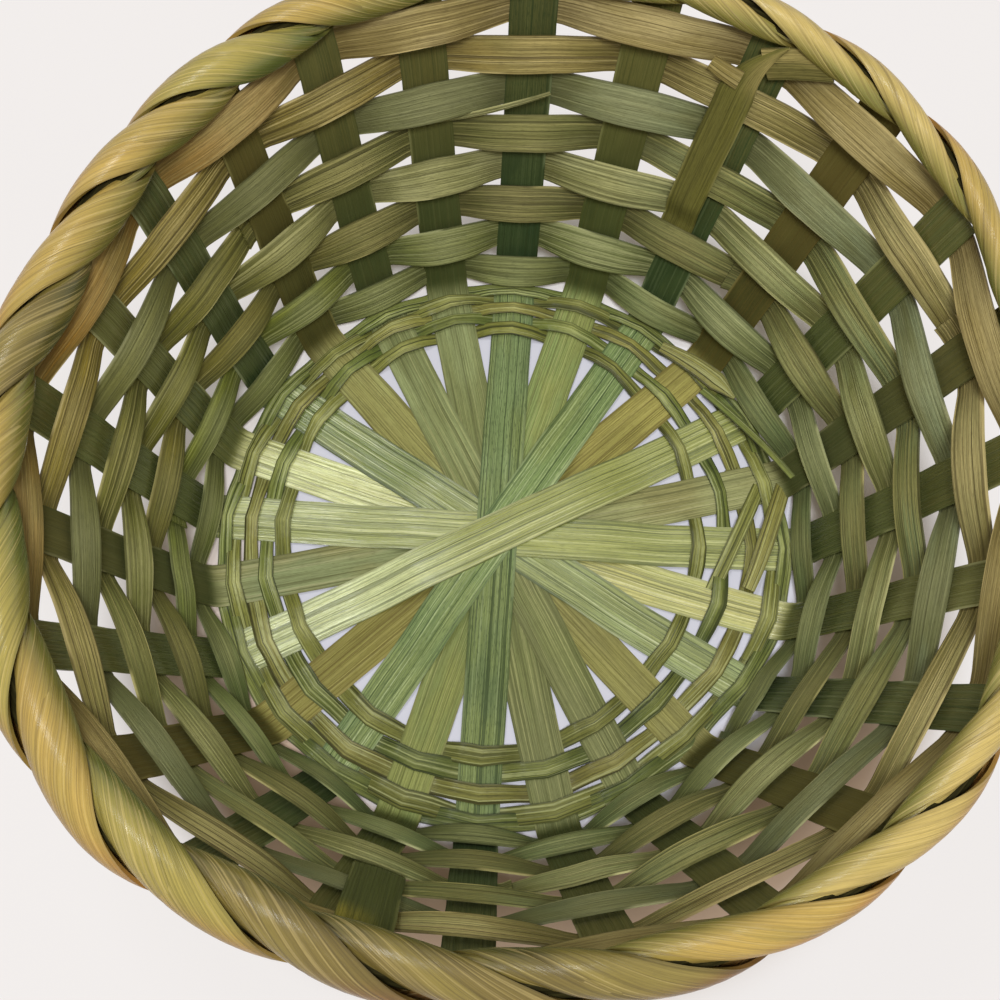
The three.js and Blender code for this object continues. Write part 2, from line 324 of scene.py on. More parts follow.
class NodeBench:
    """Adds the nodes of one material, or of the world, and joins them."""

    SIDE_SHIFT = 1.7
    NOISE_ROUGHNESS = 0.55

    def __init__(self, owner: bpy.types.Material | bpy.types.World) -> None:
        """Starts the owner's nodes afresh."""
        owner.use_nodes = True
        self.owner = owner
        self.tree = owner.node_tree
        self.tree.nodes.clear()

    def add(self, kind: str, settings: dict | None = None, inputs: dict | None = None) -> bpy.types.Node:
        """Adds one node.

        Args:
            kind: The node's type name.
            settings: Properties to set on the node.
            inputs: Values, or outputs of other nodes, for its named or numbered inputs.

        Returns:
            The new node.
        """
        node = self.tree.nodes.new(kind)
        for key, value in (settings or {}).items():
            setattr(node, key, value)
        for key, value in (inputs or {}).items():
            if isinstance(value, Socket):
                self.tree.links.new(value, node.inputs[key])
            else:
                node.inputs[key].default_value = value
        return node

    def noise(self, place: Socket, grain: Grain, shift: float, fineness: float = 1.0) -> Socket:
        """Noise drawn out along a strip.

        Args:
            place: The strip's own map, in centimetres.
            grain: The pattern.
            shift: Moves the pattern, so that no two finishes are alike.
            fineness: Draws the pattern closer across the strip.

        Returns:
            The noise, about 0.5 on average.
        """
        moved = shift + grain.shift
        mapping = self.add("ShaderNodeMapping", inputs={
            "Vector": place, "Location": (moved, moved * self.SIDE_SHIFT, 0.0),
            "Scale": (grain.along, grain.across * fineness, 1.0)})
        noise = self.add("ShaderNodeTexNoise", {"noise_dimensions": "2D"}, {
            "Vector": mapping.outputs["Vector"], "Scale": 1.0, "Detail": grain.layers,
            "Roughness": self.NOISE_ROUGHNESS})
        return noise.outputs["Fac"]

    def spread(self, value: Socket, low: float, high: float, start: float = 0.0, end: float = 1.0) -> Socket:
        """Spreads the part of a value between low and high over start to end, smoothly."""
        node = self.add("ShaderNodeMapRange", {"interpolation_type": "SMOOTHSTEP"}, {
            "Value": value, "From Min": low, "From Max": high, "To Min": start, "To Max": end})
        return node.outputs["Result"]

    def shown(self, noise: Socket, grain: Grain, share: float = 1.0) -> Socket:
        """How strongly a pattern shows, up to a share, from its noise."""
        return self.spread(noise, grain.start, grain.full, 0.0, share)

    def blend(self, factor: Socket, first: object, second: object) -> Socket:
        """Mixes two colours, each a value or another node's output."""
        node = self.add("ShaderNodeMix", {"data_type": "RGBA"}, {0: factor, 6: first, 7: second})
        return node.outputs[2]

    def sum(self, first: Socket, second: Socket, weight: float) -> Socket:
        """Adds a weighted value to another."""
        node = self.add("ShaderNodeMath", {"operation": "MULTIPLY_ADD"}, {0: second, 1: weight, 2: first})
        return node.outputs["Value"]

    def share(self, value: Socket, share: object) -> Socket:
        """Takes a share of a value; the share is a number or another node's output."""
        return self.add("ShaderNodeMath", {"operation": "MULTIPLY"}, {0: value, 1: share}).outputs["Value"]

    def without_sign(self, value: Socket) -> Socket:
        """The size of a value, without its sign."""
        return self.add("ShaderNodeMath", {"operation": "ABSOLUTE"}, {0: value}).outputs["Value"]

    def larger(self, first: Socket, second: Socket) -> Socket:
        """The larger of two values."""
        return self.add("ShaderNodeMath", {"operation": "MAXIMUM"}, {0: first, 1: second}).outputs["Value"]

    def background(self) -> Socket:
        """Is 1 where the camera sees the surface itself, in a mirror or through glass."""
        path = self.add("ShaderNodeLightPath").outputs
        mirrored = self.larger(path["Is Glossy Ray"], path["Is Transmission Ray"])
        return self.larger(path["Is Camera Ray"], mirrored)

    def finish(self, kind: str, factor: Socket, first: Socket, second: Socket) -> None:
        """Mixes two shaders and joins them to an output node of the given kind."""
        mix = self.add("ShaderNodeMixShader", inputs={0: factor, 1: first, 2: second})
        self.add(kind, inputs={"Surface": mix.outputs["Shader"]})

    def attribute(self, name: str) -> Socket:
        """Reads one of the piece's own attributes."""
        return self.add("ShaderNodeAttribute", {"attribute_name": name}).outputs["Fac"]


@dataclass(frozen=True)
class SplitBamboo:
    """Split bamboo: a body colour with long fibres, veins, pale streaks, blotches, dashes and pale edges.

    The colour goes from near through body to far as the strip's tint goes from 0 to 1, and over to
    the other colour, if it has one, where the strip says so; on stakes, rows and bindings the tint and
    the other colour partly carry painted light and shade. Streaks and blotches keep only the far shares
    of themselves past the body. Crests get a painted highlight and the stretches beside the stakes
    painted shade. The edges get a painted contact shadow, and the pale edges are partly bare cut edges
    and partly a painted highlight where the edges catch the light.
    """

    name: str
    near: Colour
    body: Colour
    far: Colour
    blush: Colour
    pale: Colour
    dark: Colour
    pale_share: float = 0.40
    blush_share: float = 0.75
    far_pale: float = 1.0
    far_blush: float = 1.0
    vein_share: float = 0.5
    dash_share: float = 0.25
    fibre_share: float = 0.44
    fine_share: float = 0.36
    broad_share: float = 0.4
    edge_share: float = 0.55
    edge_shadow: float = 0.45
    edge_from: float = 0.86
    bare_and_lit_edge: tuple[float, float] = (0.86, 0.96)
    crest_highlight: float = 0.0
    beside_stake_shade: float = 0.0
    crest_from: float = 0.30
    beside_stake_from: float = 0.50
    grain: float = 1.0
    roughness: float = 0.42
    rough_fibre: tuple[float, float] = (0.30, 0.70)
    rougher: float = 0.08
    smoother: float = -0.06
    gloss: float = 0.18
    relief: float = 0.7
    relief_depth: float = 0.00012
    fine_relief: float = 0.5
    dash_relief: float = 0.3
    vein_relief: float = -0.6
    shift: float = 0.0
    other: Colour | None = None

    def material(self) -> bpy.types.Material:
        """Makes the material, or finds it if it is there.

        Returns:
            The material, which reads the strip's map, tint, edge and other marks.
        """
        known = bpy.data.materials.get(self.name)
        if known is not None:
            return known
        bench = NodeBench(bpy.data.materials.new(self.name))
        place = bench.add("ShaderNodeUVMap", {"uv_map": STRIP_MAP}).outputs["UV"]
        fibre = bench.noise(place, FIBRES, self.shift, self.grain)
        fine = bench.noise(place, FINE_LINES, self.shift, self.grain)
        dashes = bench.noise(place, DASHES, self.shift)
        veins = bench.shown(bench.noise(place, VEINS, self.shift), VEINS)
        tint = bench.attribute(TINT)
        dark = linear(*self.dark)
        colour = self._ground(bench, place, tint)
        bands = bench.shown(
            bench.noise(place, BROAD_BANDS, self.shift), BROAD_BANDS, self.fibre_share * self.broad_share)
        colour = bench.blend(bands, colour, dark)
        colour = bench.blend(bench.shown(fibre, FIBRES, self.fibre_share), colour, dark)
        streaks = bench.shown(bench.noise(place, STREAKS, self.shift, self.grain), STREAKS)
        streak_share = bench.spread(tint, 0.0, 0.5, self.pale_share, self.pale_share * self.far_pale)
        colour = bench.blend(bench.share(streaks, streak_share), colour, linear(*self.pale))
        colour = bench.blend(bench.shown(fine, FINE_LINES, self.fine_share), colour, dark)
        colour = bench.blend(bench.share(veins, self.vein_share), colour, dark)
        colour = bench.blend(bench.shown(dashes, DASHES, self.dash_share), colour, dark)
        colour = self._edges(bench, place, colour)
        height = bench.sum(fibre, fine, self.fine_relief)
        height = bench.sum(bench.sum(height, dashes, self.dash_relief), veins, self.vein_relief)
        bump = bench.add("ShaderNodeBump", inputs={
            "Strength": self.relief, "Distance": self.relief_depth, "Height": height})
        rough = bench.spread(
            fibre, *self.rough_fibre, self.roughness + self.rougher, self.roughness + self.smoother)
        shader = bench.add("ShaderNodeBsdfPrincipled", inputs={
            "Base Color": colour, "Roughness": rough, "Normal": bump.outputs["Normal"],
            "Specular IOR Level": self.gloss})
        bench.add("ShaderNodeOutputMaterial", inputs={"Surface": shader.outputs["BSDF"]})
        return bench.owner

    def _ground(self, bench: NodeBench, place: Socket, tint: Socket) -> Socket:
        """The colour under the lines: tint, other colour, blotches, painted highlight and painted shade.

        Args:
            bench: The material's bench.
            place: The strip's own map, in centimetres.
            tint: The strip's tint.

        Returns:
            The colour.
        """
        colour = bench.blend(bench.spread(tint, 0.0, 0.5), linear(*self.near), linear(*self.body))
        colour = bench.blend(bench.spread(tint, 0.5, 1.0), colour, linear(*self.far))
        if self.other is not None:
            colour = bench.blend(bench.attribute(OTHER), colour, linear(*self.other))
        blotch = bench.shown(bench.noise(place, BLOTCHES, self.shift), BLOTCHES)
        share = bench.spread(tint, 0.0, 0.5, self.blush_share, self.blush_share * self.far_blush)
        colour = bench.blend(bench.share(blotch, share), colour, linear(*self.blush))
        # Painted highlight on the crests of a row, and painted shade beside the stakes where it passes behind
        # them.
        if self.crest_highlight > 0.0:
            crest = bench.attribute(CREST)
            painted_highlight = bench.spread(crest, self.crest_from, 1.0, 0.0, self.crest_highlight)
            painted_shade = bench.spread(crest, self.beside_stake_from, 0.0, 0.0, self.beside_stake_shade)
            colour = bench.blend(painted_highlight, colour, linear(*self.pale))
            colour = bench.blend(painted_shade, colour, linear(*self.dark))
        return colour

    def _edges(self, bench: NodeBench, place: Socket, colour: Socket) -> Socket:
        """Paints contact shadow along the strip's edges, and pale edges in places.

        Args:
            bench: The material's bench.
            place: The strip's own map, in centimetres.
            colour: The colour so far.

        Returns:
            The colour with its edges.
        """
        edge = bench.without_sign(bench.attribute(EDGE))
        # Painted contact shadow along the edges.
        colour = bench.blend(
            bench.spread(edge, self.edge_from, 1.0, 0.0, self.edge_shadow), colour, linear(*self.dark))
        # Pale edges: partly bare cut edges, partly a painted highlight where the edges catch the light.
        pale_edge = bench.shown(bench.noise(place, BARE_AND_LIT_EDGES, self.shift), BARE_AND_LIT_EDGES)
        share = bench.share(bench.spread(edge, *self.bare_and_lit_edge, 0.0, self.edge_share), pale_edge)
        return bench.blend(share, colour, linear(*self.pale))


def stake_finish(name: str, base: Colour, second: Colour, low_wall: Colour, high_wall: Colour,
                 blush: Colour, pale: Colour, dark: Colour, **shares: float) -> SplitBamboo:
    """The finish of a stake: bright on the base, dark and plain low on the wall, browner above."""
    # Low on the wall the stake is darker, partly its own colour and partly painted shade; the second colour
    # on the base is partly painted glare and painted shade.
    return SplitBamboo(
        f"bamboo_{name}", base, low_wall, high_wall, blush, pale, dark, far_pale=0.12, far_blush=0.15,
        edge_share=0.25, edge_shadow=0.6, other=second, **shares)


def row_finish(name: str, left: Colour, back: Colour, right: Colour, front: Colour, blush: Colour,
               pale: Colour, dark: Colour, **shares: float) -> SplitBamboo:
    """The finish of a wall row, which changes colour round the basket."""
    # The front colour is painted shade; the crest marks give a painted highlight on crests and painted shade
    # beside the stakes.
    return SplitBamboo(
        f"bamboo_row_{name}", left, back, right, blush, pale, dark, other=front, crest_highlight=0.27,
        beside_stake_shade=0.42, gloss=0.30, **shares)


def binding_finish(name: str, near: Colour, body: Colour, far: Colour, front: Colour, dark: Colour,
                   shift: float) -> SplitBamboo:
    """The finish of a narrow binding strip, which changes colour along its length."""
    # Its colour goes from a painted shade where it passes under a stake to a painted highlight over one, its
    # pale streaks partly paint glints, and its front colour is painted shade.
    return SplitBamboo(
        f"bamboo_binding_{name}", near, body, far, (136, 138, 72), (206, 210, 150), dark, pale_share=0.36,
        blush_share=0.4, vein_share=0.7, fibre_share=0.45, edge_share=0.1, edge_shadow=0.75, edge_from=0.74,
        roughness=0.30, gloss=0.24, shift=shift, other=front)


def rope_finish(name: str, inner: Colour, body: Colour, outer: Colour, dark: Colour,
                shift: float) -> SplitBamboo:
    """The finish of a rope strand, greener inside the rim and browner outside it."""
    # Its pale streaks are partly painted highlight streaks.
    return SplitBamboo(
        f"bamboo_{name}", inner, body, outer, (164, 148, 74), (230, 206, 138), dark, pale_share=0.32,
        blush_share=0.40, far_pale=0.8, vein_share=0.20, dash_share=0.10, fibre_share=0.36, fine_share=0.20,
        edge_share=0.0, grain=0.9, roughness=0.27, gloss=0.45, relief=0.45, shift=shift)


class Shade(Enum):
    """The shades of strip in the basket."""

    DEEP_GREEN = stake_finish(
        "deep_green", (132, 150, 97), (109, 124, 79), (52, 72, 44), (90, 92, 52), (134, 146, 86),
        (176, 188, 138), (56, 70, 40), pale_share=0.30, vein_share=0.7, dash_share=0.5, roughness=0.44,
        shift=1.0)
    LEAF_GREEN = stake_finish(
        "leaf_green", (136, 156, 96), (127, 145, 92), (58, 74, 42), (94, 92, 50), (144, 156, 94),
        (198, 210, 156), (62, 80, 46), pale_share=0.50, vein_share=0.7, dash_share=0.4, roughness=0.36,
        shift=2.0)
    STRIPED_GREEN = stake_finish(
        "striped_green", (169, 181, 120), (130, 143, 80), (56, 70, 40), (84, 86, 47), (156, 162, 100),
        (220, 226, 178), (68, 80, 44), pale_share=0.65, vein_share=0.7, roughness=0.30, gloss=0.60, shift=2.5)
    OLIVE = stake_finish(
        "olive", (146, 162, 97), (134, 144, 84), (68, 78, 42), (104, 100, 54), (150, 154, 86),
        (192, 190, 126), (86, 90, 46), pale_share=0.35, roughness=0.44, shift=3.0)
    DULL_OLIVE = stake_finish(
        "dull_olive", (125, 128, 83), (150, 159, 106), (68, 78, 42), (104, 100, 54), (128, 134, 82),
        (192, 190, 130), (80, 84, 46), pale_share=0.35, roughness=0.44, shift=3.5)
    BROWN_OLIVE = stake_finish(
        "brown_olive", (171, 163, 89), (132, 125, 64), (72, 71, 36), (98, 89, 45), (148, 142, 75),
        (190, 178, 112), (98, 86, 42), pale_share=0.25, roughness=0.46, shift=4.0)
    YELLOW_OLIVE = stake_finish(
        "yellow_olive", (143, 140, 86), (170, 171, 106), (72, 71, 36), (98, 89, 45), (152, 148, 84),
        (194, 186, 120), (92, 86, 44), pale_share=0.25, roughness=0.46, shift=4.5)
    YELLOW_GREEN = stake_finish(
        "yellow_green", (162, 166, 89), (220, 228, 168), (66, 77, 41), (98, 96, 50), (158, 164, 92),
        (220, 222, 158), (84, 92, 46), pale_share=0.55, blush_share=0.3, vein_share=0.6, roughness=0.28,
        gloss=0.8, shift=5.0)
    SOFT_YELLOW = stake_finish(
        "soft_yellow", (170, 174, 98), (202, 209, 146), (66, 77, 41), (98, 96, 50), (158, 164, 92),
        (220, 222, 158), (84, 92, 46), pale_share=0.55, vein_share=0.6, roughness=0.28, gloss=0.8, shift=5.5)
    GREY_OLIVE = stake_finish(
        "grey_olive", (168, 169, 114), (144, 153, 105), (72, 80, 44), (102, 98, 54), (148, 142, 90),
        (192, 188, 142), (86, 88, 52), pale_share=0.35, roughness=0.46, shift=6.0)
    PALE_YELLOW = stake_finish(
        "pale_yellow", (207, 202, 125), (240, 246, 176), (66, 76, 41), (96, 94, 50), (196, 198, 124),
        (240, 238, 184), (104, 106, 56), pale_share=0.55, vein_share=0.6, roughness=0.28, gloss=0.8,
        shift=7.0)
    TAIL_OLIVE = SplitBamboo(
        "bamboo_tail_olive", (112, 108, 50), (120, 116, 56), (192, 174, 110), (116, 112, 58),
        (160, 154, 94), (70, 68, 34), pale_share=0.15, vein_share=0.3, roughness=0.42, shift=7.5)
    TAIL_GREEN = SplitBamboo(
        "bamboo_tail_green", (72, 80, 38), (78, 84, 40), (160, 150, 58), (80, 84, 42),
        (128, 130, 78), (44, 50, 26), pale_share=0.15, vein_share=0.3, roughness=0.42, shift=7.7)
    ROW_GOLD = row_finish(
        "gold", (164, 123, 46), (188, 172, 120), (166, 152, 100), (158, 149, 97), (144, 128, 70),
        (220, 200, 136), (80, 64, 30), pale_share=0.28, vein_share=0.25, roughness=0.42, shift=9.0)
    ROW_TAN = row_finish(
        "tan", (166, 147, 60), (166, 148, 84), (164, 156, 102), (172, 168, 108), (134, 124, 66),
        (220, 202, 138), (72, 60, 30), pale_share=0.5, vein_share=0.7, fibre_share=0.42, roughness=0.38,
        shift=8.0)
    ROW_GREY_GREEN = row_finish(
        "grey_green", (134, 134, 74), (126, 128, 86), (144, 154, 114), (104, 113, 77), (116, 118, 72),
        (180, 180, 132), (66, 66, 38), pale_share=0.22, vein_share=0.2, fibre_share=0.26, roughness=0.40,
        shift=10.0)
    ROW_OLIVE = row_finish(
        "olive", (130, 126, 50), (146, 141, 94), (142, 154, 104), (138, 147, 95), (112, 114, 60),
        (194, 186, 120), (60, 57, 28), pale_share=0.45, vein_share=0.6, fibre_share=0.42, roughness=0.38,
        shift=11.0)
    ROW_BEIGE = row_finish(
        "beige", (124, 122, 44), (178, 176, 124), (148, 156, 102), (143, 151, 98), (128, 128, 72),
        (214, 210, 148), (66, 64, 32), pale_share=0.42, vein_share=0.4, roughness=0.36, shift=11.5)
    ROW_BROWN = row_finish(
        "brown", (138, 130, 58), (118, 115, 70), (140, 145, 92), (110, 115, 68), (112, 112, 62),
        (188, 178, 116), (60, 55, 30), pale_share=0.38, vein_share=0.4, roughness=0.38, shift=12.5)
    ROW_SAGE = row_finish(
        "sage", (142, 150, 56), (130, 134, 78), (144, 151, 104), (126, 142, 92), (120, 128, 74),
        (206, 208, 150), (58, 63, 34), pale_share=0.42, vein_share=0.4, roughness=0.36, shift=12.8)
    ROW_GREEN = row_finish(
        "green", (116, 124, 58), (148, 154, 96), (122, 136, 88), (104, 124, 78), (126, 128, 78),
        (192, 196, 138), (48, 54, 30), pale_share=0.35, vein_share=0.35, roughness=0.36, shift=12.0)
    BINDING_OLIVE = binding_finish(
        "olive", (104, 107, 48), (140, 141, 70), (184, 184, 110), (88, 88, 44), (44, 48, 24), 13.0)
    BINDING_GREEN = binding_finish(
        "green", (88, 101, 45), (120, 131, 64), (170, 177, 104), (76, 82, 41), (36, 44, 22), 13.4)
    BINDING_TAN = binding_finish(
        "tan", (116, 113, 53), (152, 147, 76), (194, 189, 116), (98, 92, 47), (50, 48, 26), 13.8)
    STRAW = rope_finish("straw", (128, 128, 60), (208, 184, 108), (200, 150, 80), (104, 84, 42), 14.0)
    STRAW_GOLD = rope_finish(
        "straw_gold", (112, 114, 52), (194, 164, 84), (192, 138, 68), (92, 72, 34), 15.0)
    STRAW_GREEN = rope_finish(
        "straw_green", (94, 106, 48), (178, 162, 82), (190, 143, 74), (70, 68, 32), 16.0)
    STRAW_TAN = rope_finish("straw_tan", (76, 76, 36), (124, 108, 54), (138, 99, 52), (66, 54, 27), 17.0)
    # The core is dark: painted shade seen in the seams between the strands.
    ROPE_CORE = SplitBamboo(
        "bamboo_rope_core", (52, 48, 24), (52, 48, 24), (52, 48, 24), (60, 54, 28), (84, 76, 42),
        (24, 22, 12), pale_share=0.1, edge_share=0.0, roughness=0.8, gloss=0.1, shift=18.0)


def dress(piece: bpy.types.Object, node: str | None, shade: Shade) -> None:
    """Gives a piece its finish, ties it to the body, and hides the solid that it stands for.

    Args:
        piece: The finished mesh.
        node: The solid that the piece takes the place of, if it has one.
        shade: The piece's shade of bamboo.
    """
    piece.data.materials.clear()
    piece.data.materials.append(shade.value.material())
    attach(piece, BODY)
    if node is not None:
        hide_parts(node)
    log.info("%s: %d faces, %s", piece.name, len(piece.data.polygons), shade.value.name)


def add_sheet(name: str, facets: tuple[int, int]) -> bpy.types.Object:
    """Adds a flat square sheet, two units wide, cut into facets.

    Args:
        name: The piece's name.
        facets: Facets along and across the strip.

    Returns:
        The new sheet.
    """
    bpy.ops.object.select_all(action="DESELECT")
    bpy.ops.mesh.primitive_grid_add(x_subdivisions=facets[0], y_subdivisions=facets[1], size=2.0)
    sheet = bpy.context.active_object
    sheet.name = name
    sheet.data.name = name
    sheet.data.uv_layers[0].name = STRIP_MAP
    return sheet


def points_of(mesh: bpy.types.Mesh) -> Array:
    """The mesh's points, one row of x, y and z for each."""
    flat = np.empty(len(mesh.vertices) * 3)
    mesh.vertices.foreach_get("co", flat)
    return flat.reshape(-1, 3)


def mark(mesh: bpy.types.Mesh, name: str, values: Array) -> None:
    """Stores one number for each of the mesh's points."""
    layer = mesh.attributes.new(name, "FLOAT", "POINT")
    layer.data.foreach_set("value", values.astype(np.float32))


def join(pieces: list[bpy.types.Object]) -> bpy.types.Object:
    """Joins pieces into the first of them."""
    bpy.ops.object.select_all(action="DESELECT")
    for piece in pieces:
        piece.select_set(True)
    bpy.context.view_layer.objects.active = pieces[0]
    bpy.ops.object.join()
    return bpy.context.active_object


@dataclass(frozen=True)
class StripCut:
    """One flat strip before it is laid: its size, its facets and its fibres."""

    name: str
    length: float
    width: float
    facets: tuple[int, int]
    seed: int
    thickness: float = SIZE.strip_thickness
    rib_depth: float = 0.00003
    curl: float = 0.0001
    ragged: float = 0.014
    edge_wander: float = 0.060
    edge_sway: float = 0.045
    edge_waves: int = 5
    rib_count: int = 5
    rib_pitch: tuple[float, float] = (0.0007, 0.0014)
    rib_bend: float = 0.00012
    rib_bend_length: float = 0.090
    rib_fade: float = 0.25
    rib_fade_length: float = 0.050
    rib_waves: int = 3
    map_room: tuple[float, float] = (400.0, 40.0)
    smooth_angle: float = 50.0

    def lay(self, route: Route, tint: Tint, marks: dict[str, Tint] | None = None) -> bpy.types.Object:
        """Lays the strip on a route and gives it its thickness.

        Args:
            route: Turns along (0 to 1), across (-1 to 1) and lift (metres) into points.
            tint: Turns along and across into the share of the far colour, 0 to 1.
            marks: What else the finish reads, by name, each from along and across.

        Returns:
            The finished strip.
        """
        rng = np.random.default_rng(self.seed)
        sheet = add_sheet(self.name, self.facets)
        mesh = sheet.data
        flat = points_of(mesh)
        along = (flat[:, 0] + 1.0) / 2.0
        across = flat[:, 1]
        lift = self._fibres(rng, along, across) - self.curl * across * across
        wander = Drift(rng, self.edge_wander, self.edge_waves)
        sway = Drift(rng, self.edge_sway, self.edge_waves)
        reach = along * self.length
        edge = across * (1.0 + self.ragged * wander(reach)) + self.ragged * sway(reach)
        points = route(along, edge, lift)
        mesh.vertices.foreach_set("co", points.ravel())
        self._map(mesh, rng, along, across)
        mark(mesh, EDGE, across)
        for name, share in {TINT: tint, **(marks or {})}.items():
            mark(mesh, name, np.clip(share(along, across), 0.0, 1.0))
        mesh.update()
        self._thicken(sheet)
        return sheet

    def _fibres(self, rng: np.random.Generator, along: Array, across: Array) -> Array:
        """Height of the long fibres on the strip's face."""
        reach = along * self.length
        place = across * self.width / 2.0
        bend = Drift(rng, self.rib_bend_length, self.rib_waves)(reach) * self.rib_bend
        height = np.zeros_like(across)
        for pitch in rng.uniform(*self.rib_pitch, self.rib_count):
            height += np.cos((place + bend) / pitch * math.tau + rng.uniform(0.0, math.tau))
        fade = 1.0 - self.rib_fade + self.rib_fade * Drift(rng, self.rib_fade_length, self.rib_waves)(reach)
        return height * self.rib_depth / 2.0 * fade

    def _map(self, mesh: bpy.types.Mesh, rng: np.random.Generator, along: Array, across: Array) -> None:
        """Lays the strip's own map, in centimetres along and across."""
        corners = np.empty(len(mesh.loops), dtype=np.int32)
        mesh.loops.foreach_get("vertex_index", corners)
        start = rng.uniform(0.0, self.map_room[0])
        side = rng.uniform(0.0, self.map_room[1])
        places = np.stack((
            along * self.length * CENTIMETRES + start,
            across * self.width / 2.0 * CENTIMETRES + side), axis=-1)
        mesh.uv_layers[STRIP_MAP].data.foreach_set("uv", places[corners].ravel())

    def _thicken(self, sheet: bpy.types.Object) -> None:
        """Gives the sheet its thickness and smooth faces."""
        bpy.ops.object.modifier_add(type="SOLIDIFY")
        shell = sheet.modifiers[-1]
        shell.thickness = self.thickness
        shell.offset = 0.0
        bpy.ops.object.modifier_apply(modifier=shell.name)
        bpy.ops.object.shade_smooth_by_angle(angle=math.radians(self.smooth_angle))


@dataclass
class StakeStrips:
    """Twelve long strips that cross under the base and rise as 24 stakes.

    The changes of colour are each a start and a length, measured from the middle of the base.
    """

    size: BasketSize
    lower_layer: tuple[int, ...] = (1, 3, 5, 7, 9, 11)
    upper_layer: tuple[int, ...] = (10, 8, 6, 0, 2, 4)
    meeting_radius: float = 0.0392
    climb_radius: float = 0.01926
    free_radius: float = 0.0498
    stack_pitch: float = 0.00029
    thickness: float = 0.00026
    wave: float = 0.00022
    width_change: float = 0.03
    width_turn: float = 2.4
    corner_change: tuple[float, float] = (0.062, 0.010)
    rim_change: tuple[float, float] = (0.080, 0.070)
    second_change: tuple[float, float] = (0.004, 0.028)
    second_end: tuple[float, float] = (0.058, 0.010)
    shades: tuple[Shade, ...] = (
        Shade.DEEP_GREEN, Shade.OLIVE, Shade.LEAF_GREEN, Shade.BROWN_OLIVE, Shade.YELLOW_GREEN,
        Shade.GREY_OLIVE, Shade.SOFT_YELLOW, Shade.PALE_YELLOW, Shade.STRIPED_GREEN, Shade.YELLOW_OLIVE,
        Shade.DULL_OLIVE, Shade.DULL_OLIVE)
    ribbed: tuple[int, ...] = (2, 4, 6, 7, 8)
    ribbed_depth: float = 0.00006
    plain_depth: float = 0.000025
    route_steps: tuple[int, int, int] = (200, 16, 240)
    facets: tuple[int, int] = (170, 56)
    seed: int = 100

    def build(self) -> list[bpy.types.Object]:
        """Builds all the strips."""
        return [self._strip(strip) for strip in range(self.size.stake_count // 2)]

    def _level(self, strip: int, radius: Array) -> Array:
        """Height of a strip's middle at each distance from the middle of the base."""
        layer = self.stack_pitch
        climb = ease((self.meeting_radius - radius) / (self.meeting_radius - self.climb_radius))
        if strip in self.lower_layer:
            return self.size.stake_level + self.lower_layer.index(strip) * layer * climb
        part = ease((self.free_radius - radius) / (self.free_radius - self.meeting_radius))
        rank = len(self.lower_layer) - 1 + self.upper_layer.index(strip)
        return self.size.stake_level + layer * part + rank * layer * climb

    def _half(self, strip: int, stake: int) -> tuple[Array, Array]:
        """One half of a strip's route, from the middle of the base to the rim.

        Args:
            strip: The strip.
            stake: The stake that this half becomes.

        Returns:
            Distances from the axis, and heights.
        """
        size = self.size
        slope = size.wall_slope
        flat_end = size.corner_radius - size.bend_length
        on_flat, on_bend, on_wall = self.route_steps
        flat = np.linspace(0.0, flat_end, on_flat)
        turn = np.linspace(0.0, slope, on_bend)[1:-1]
        length = np.linspace(size.bend_length, size.wall_length - size.core_radius, on_wall)
        phase = (length - size.row_centre(0)) / size.row_pitch
        push = self.wave * np.cos(math.pi * (phase + stake))
        push = push * ramp(length, size.bend_length, size.row_pitch)
        radius = size.corner_radius + length * math.cos(slope) + push * math.sin(slope)
        height = size.stake_level + length * math.sin(slope) - push * math.cos(slope)
        return (
            np.concatenate((flat, flat_end + size.bend_radius * np.sin(turn), radius)),
            np.concatenate((
                self._level(strip, flat),
                size.stake_level + size.bend_radius * (1.0 - np.cos(turn)),
                height)))

    def _strip(self, strip: int) -> bpy.types.Object:
        """Builds one strip, from the rim down, across the base and up to the rim."""
        size = self.size
        near, near_height = self._half(strip, strip)
        far, far_height = self._half(strip, strip + size.stake_count // 2)
        out = np.concatenate((near[::-1], -far[1:]))
        up = np.concatenate((near_height[::-1], far_height[1:]))
        travel = np.concatenate(([0.0], np.cumsum(np.hypot(np.diff(out), np.diff(up)))))
        lean = np.gradient(out, travel)
        climb = np.gradient(up, travel)
        angle = size.stake_angle(strip)
        width = size.stake_width * (1.0 + self.width_change * math.sin(strip * self.width_turn))

        def route(along: Array, across: Array, lift: Array) -> Array:
            """Places points of the strip."""
            reach = along * travel[-1]
            radius = np.interp(reach, travel, out) + np.interp(reach, travel, climb) * lift
            height = np.interp(reach, travel, up) - np.interp(reach, travel, lean) * lift
            return size.around(angle, radius, height, across * width / 2.0)

        def tint(along: Array, across: Array) -> Array:
            """Goes over to the wall's colours past the corner."""
            # The wall's colours are darker low down, partly painted shade.
            from_middle = np.abs(along - 0.5) * travel[-1]
            return 0.5 * ramp(from_middle, *self.corner_change) + 0.5 * ramp(from_middle, *self.rim_change)

        def second(along: Array, across: Array) -> Array:
            """Goes over to the second colour on the second half of the base."""
            # The second colour is partly painted glare on the left of the base and painted shade at the
            # front, partly the strip's own colour.
            past = (along - 0.5) * travel[-1]
            return ramp(past, *self.second_change) * (1.0 - ramp(past, *self.second_end))

        cut = StripCut(
            f"crossed_strip_{strip + 1:02d}", travel[-1], width, self.facets, self.seed + strip,
            thickness=self.thickness,
            rib_depth=self.ribbed_depth if strip in self.ribbed else self.plain_depth)
        piece = cut.lay(route, tint, {OTHER: second})
        dress(piece, f"stake_strip_{strip + 1:02d}", self.shades[strip])
        return piece


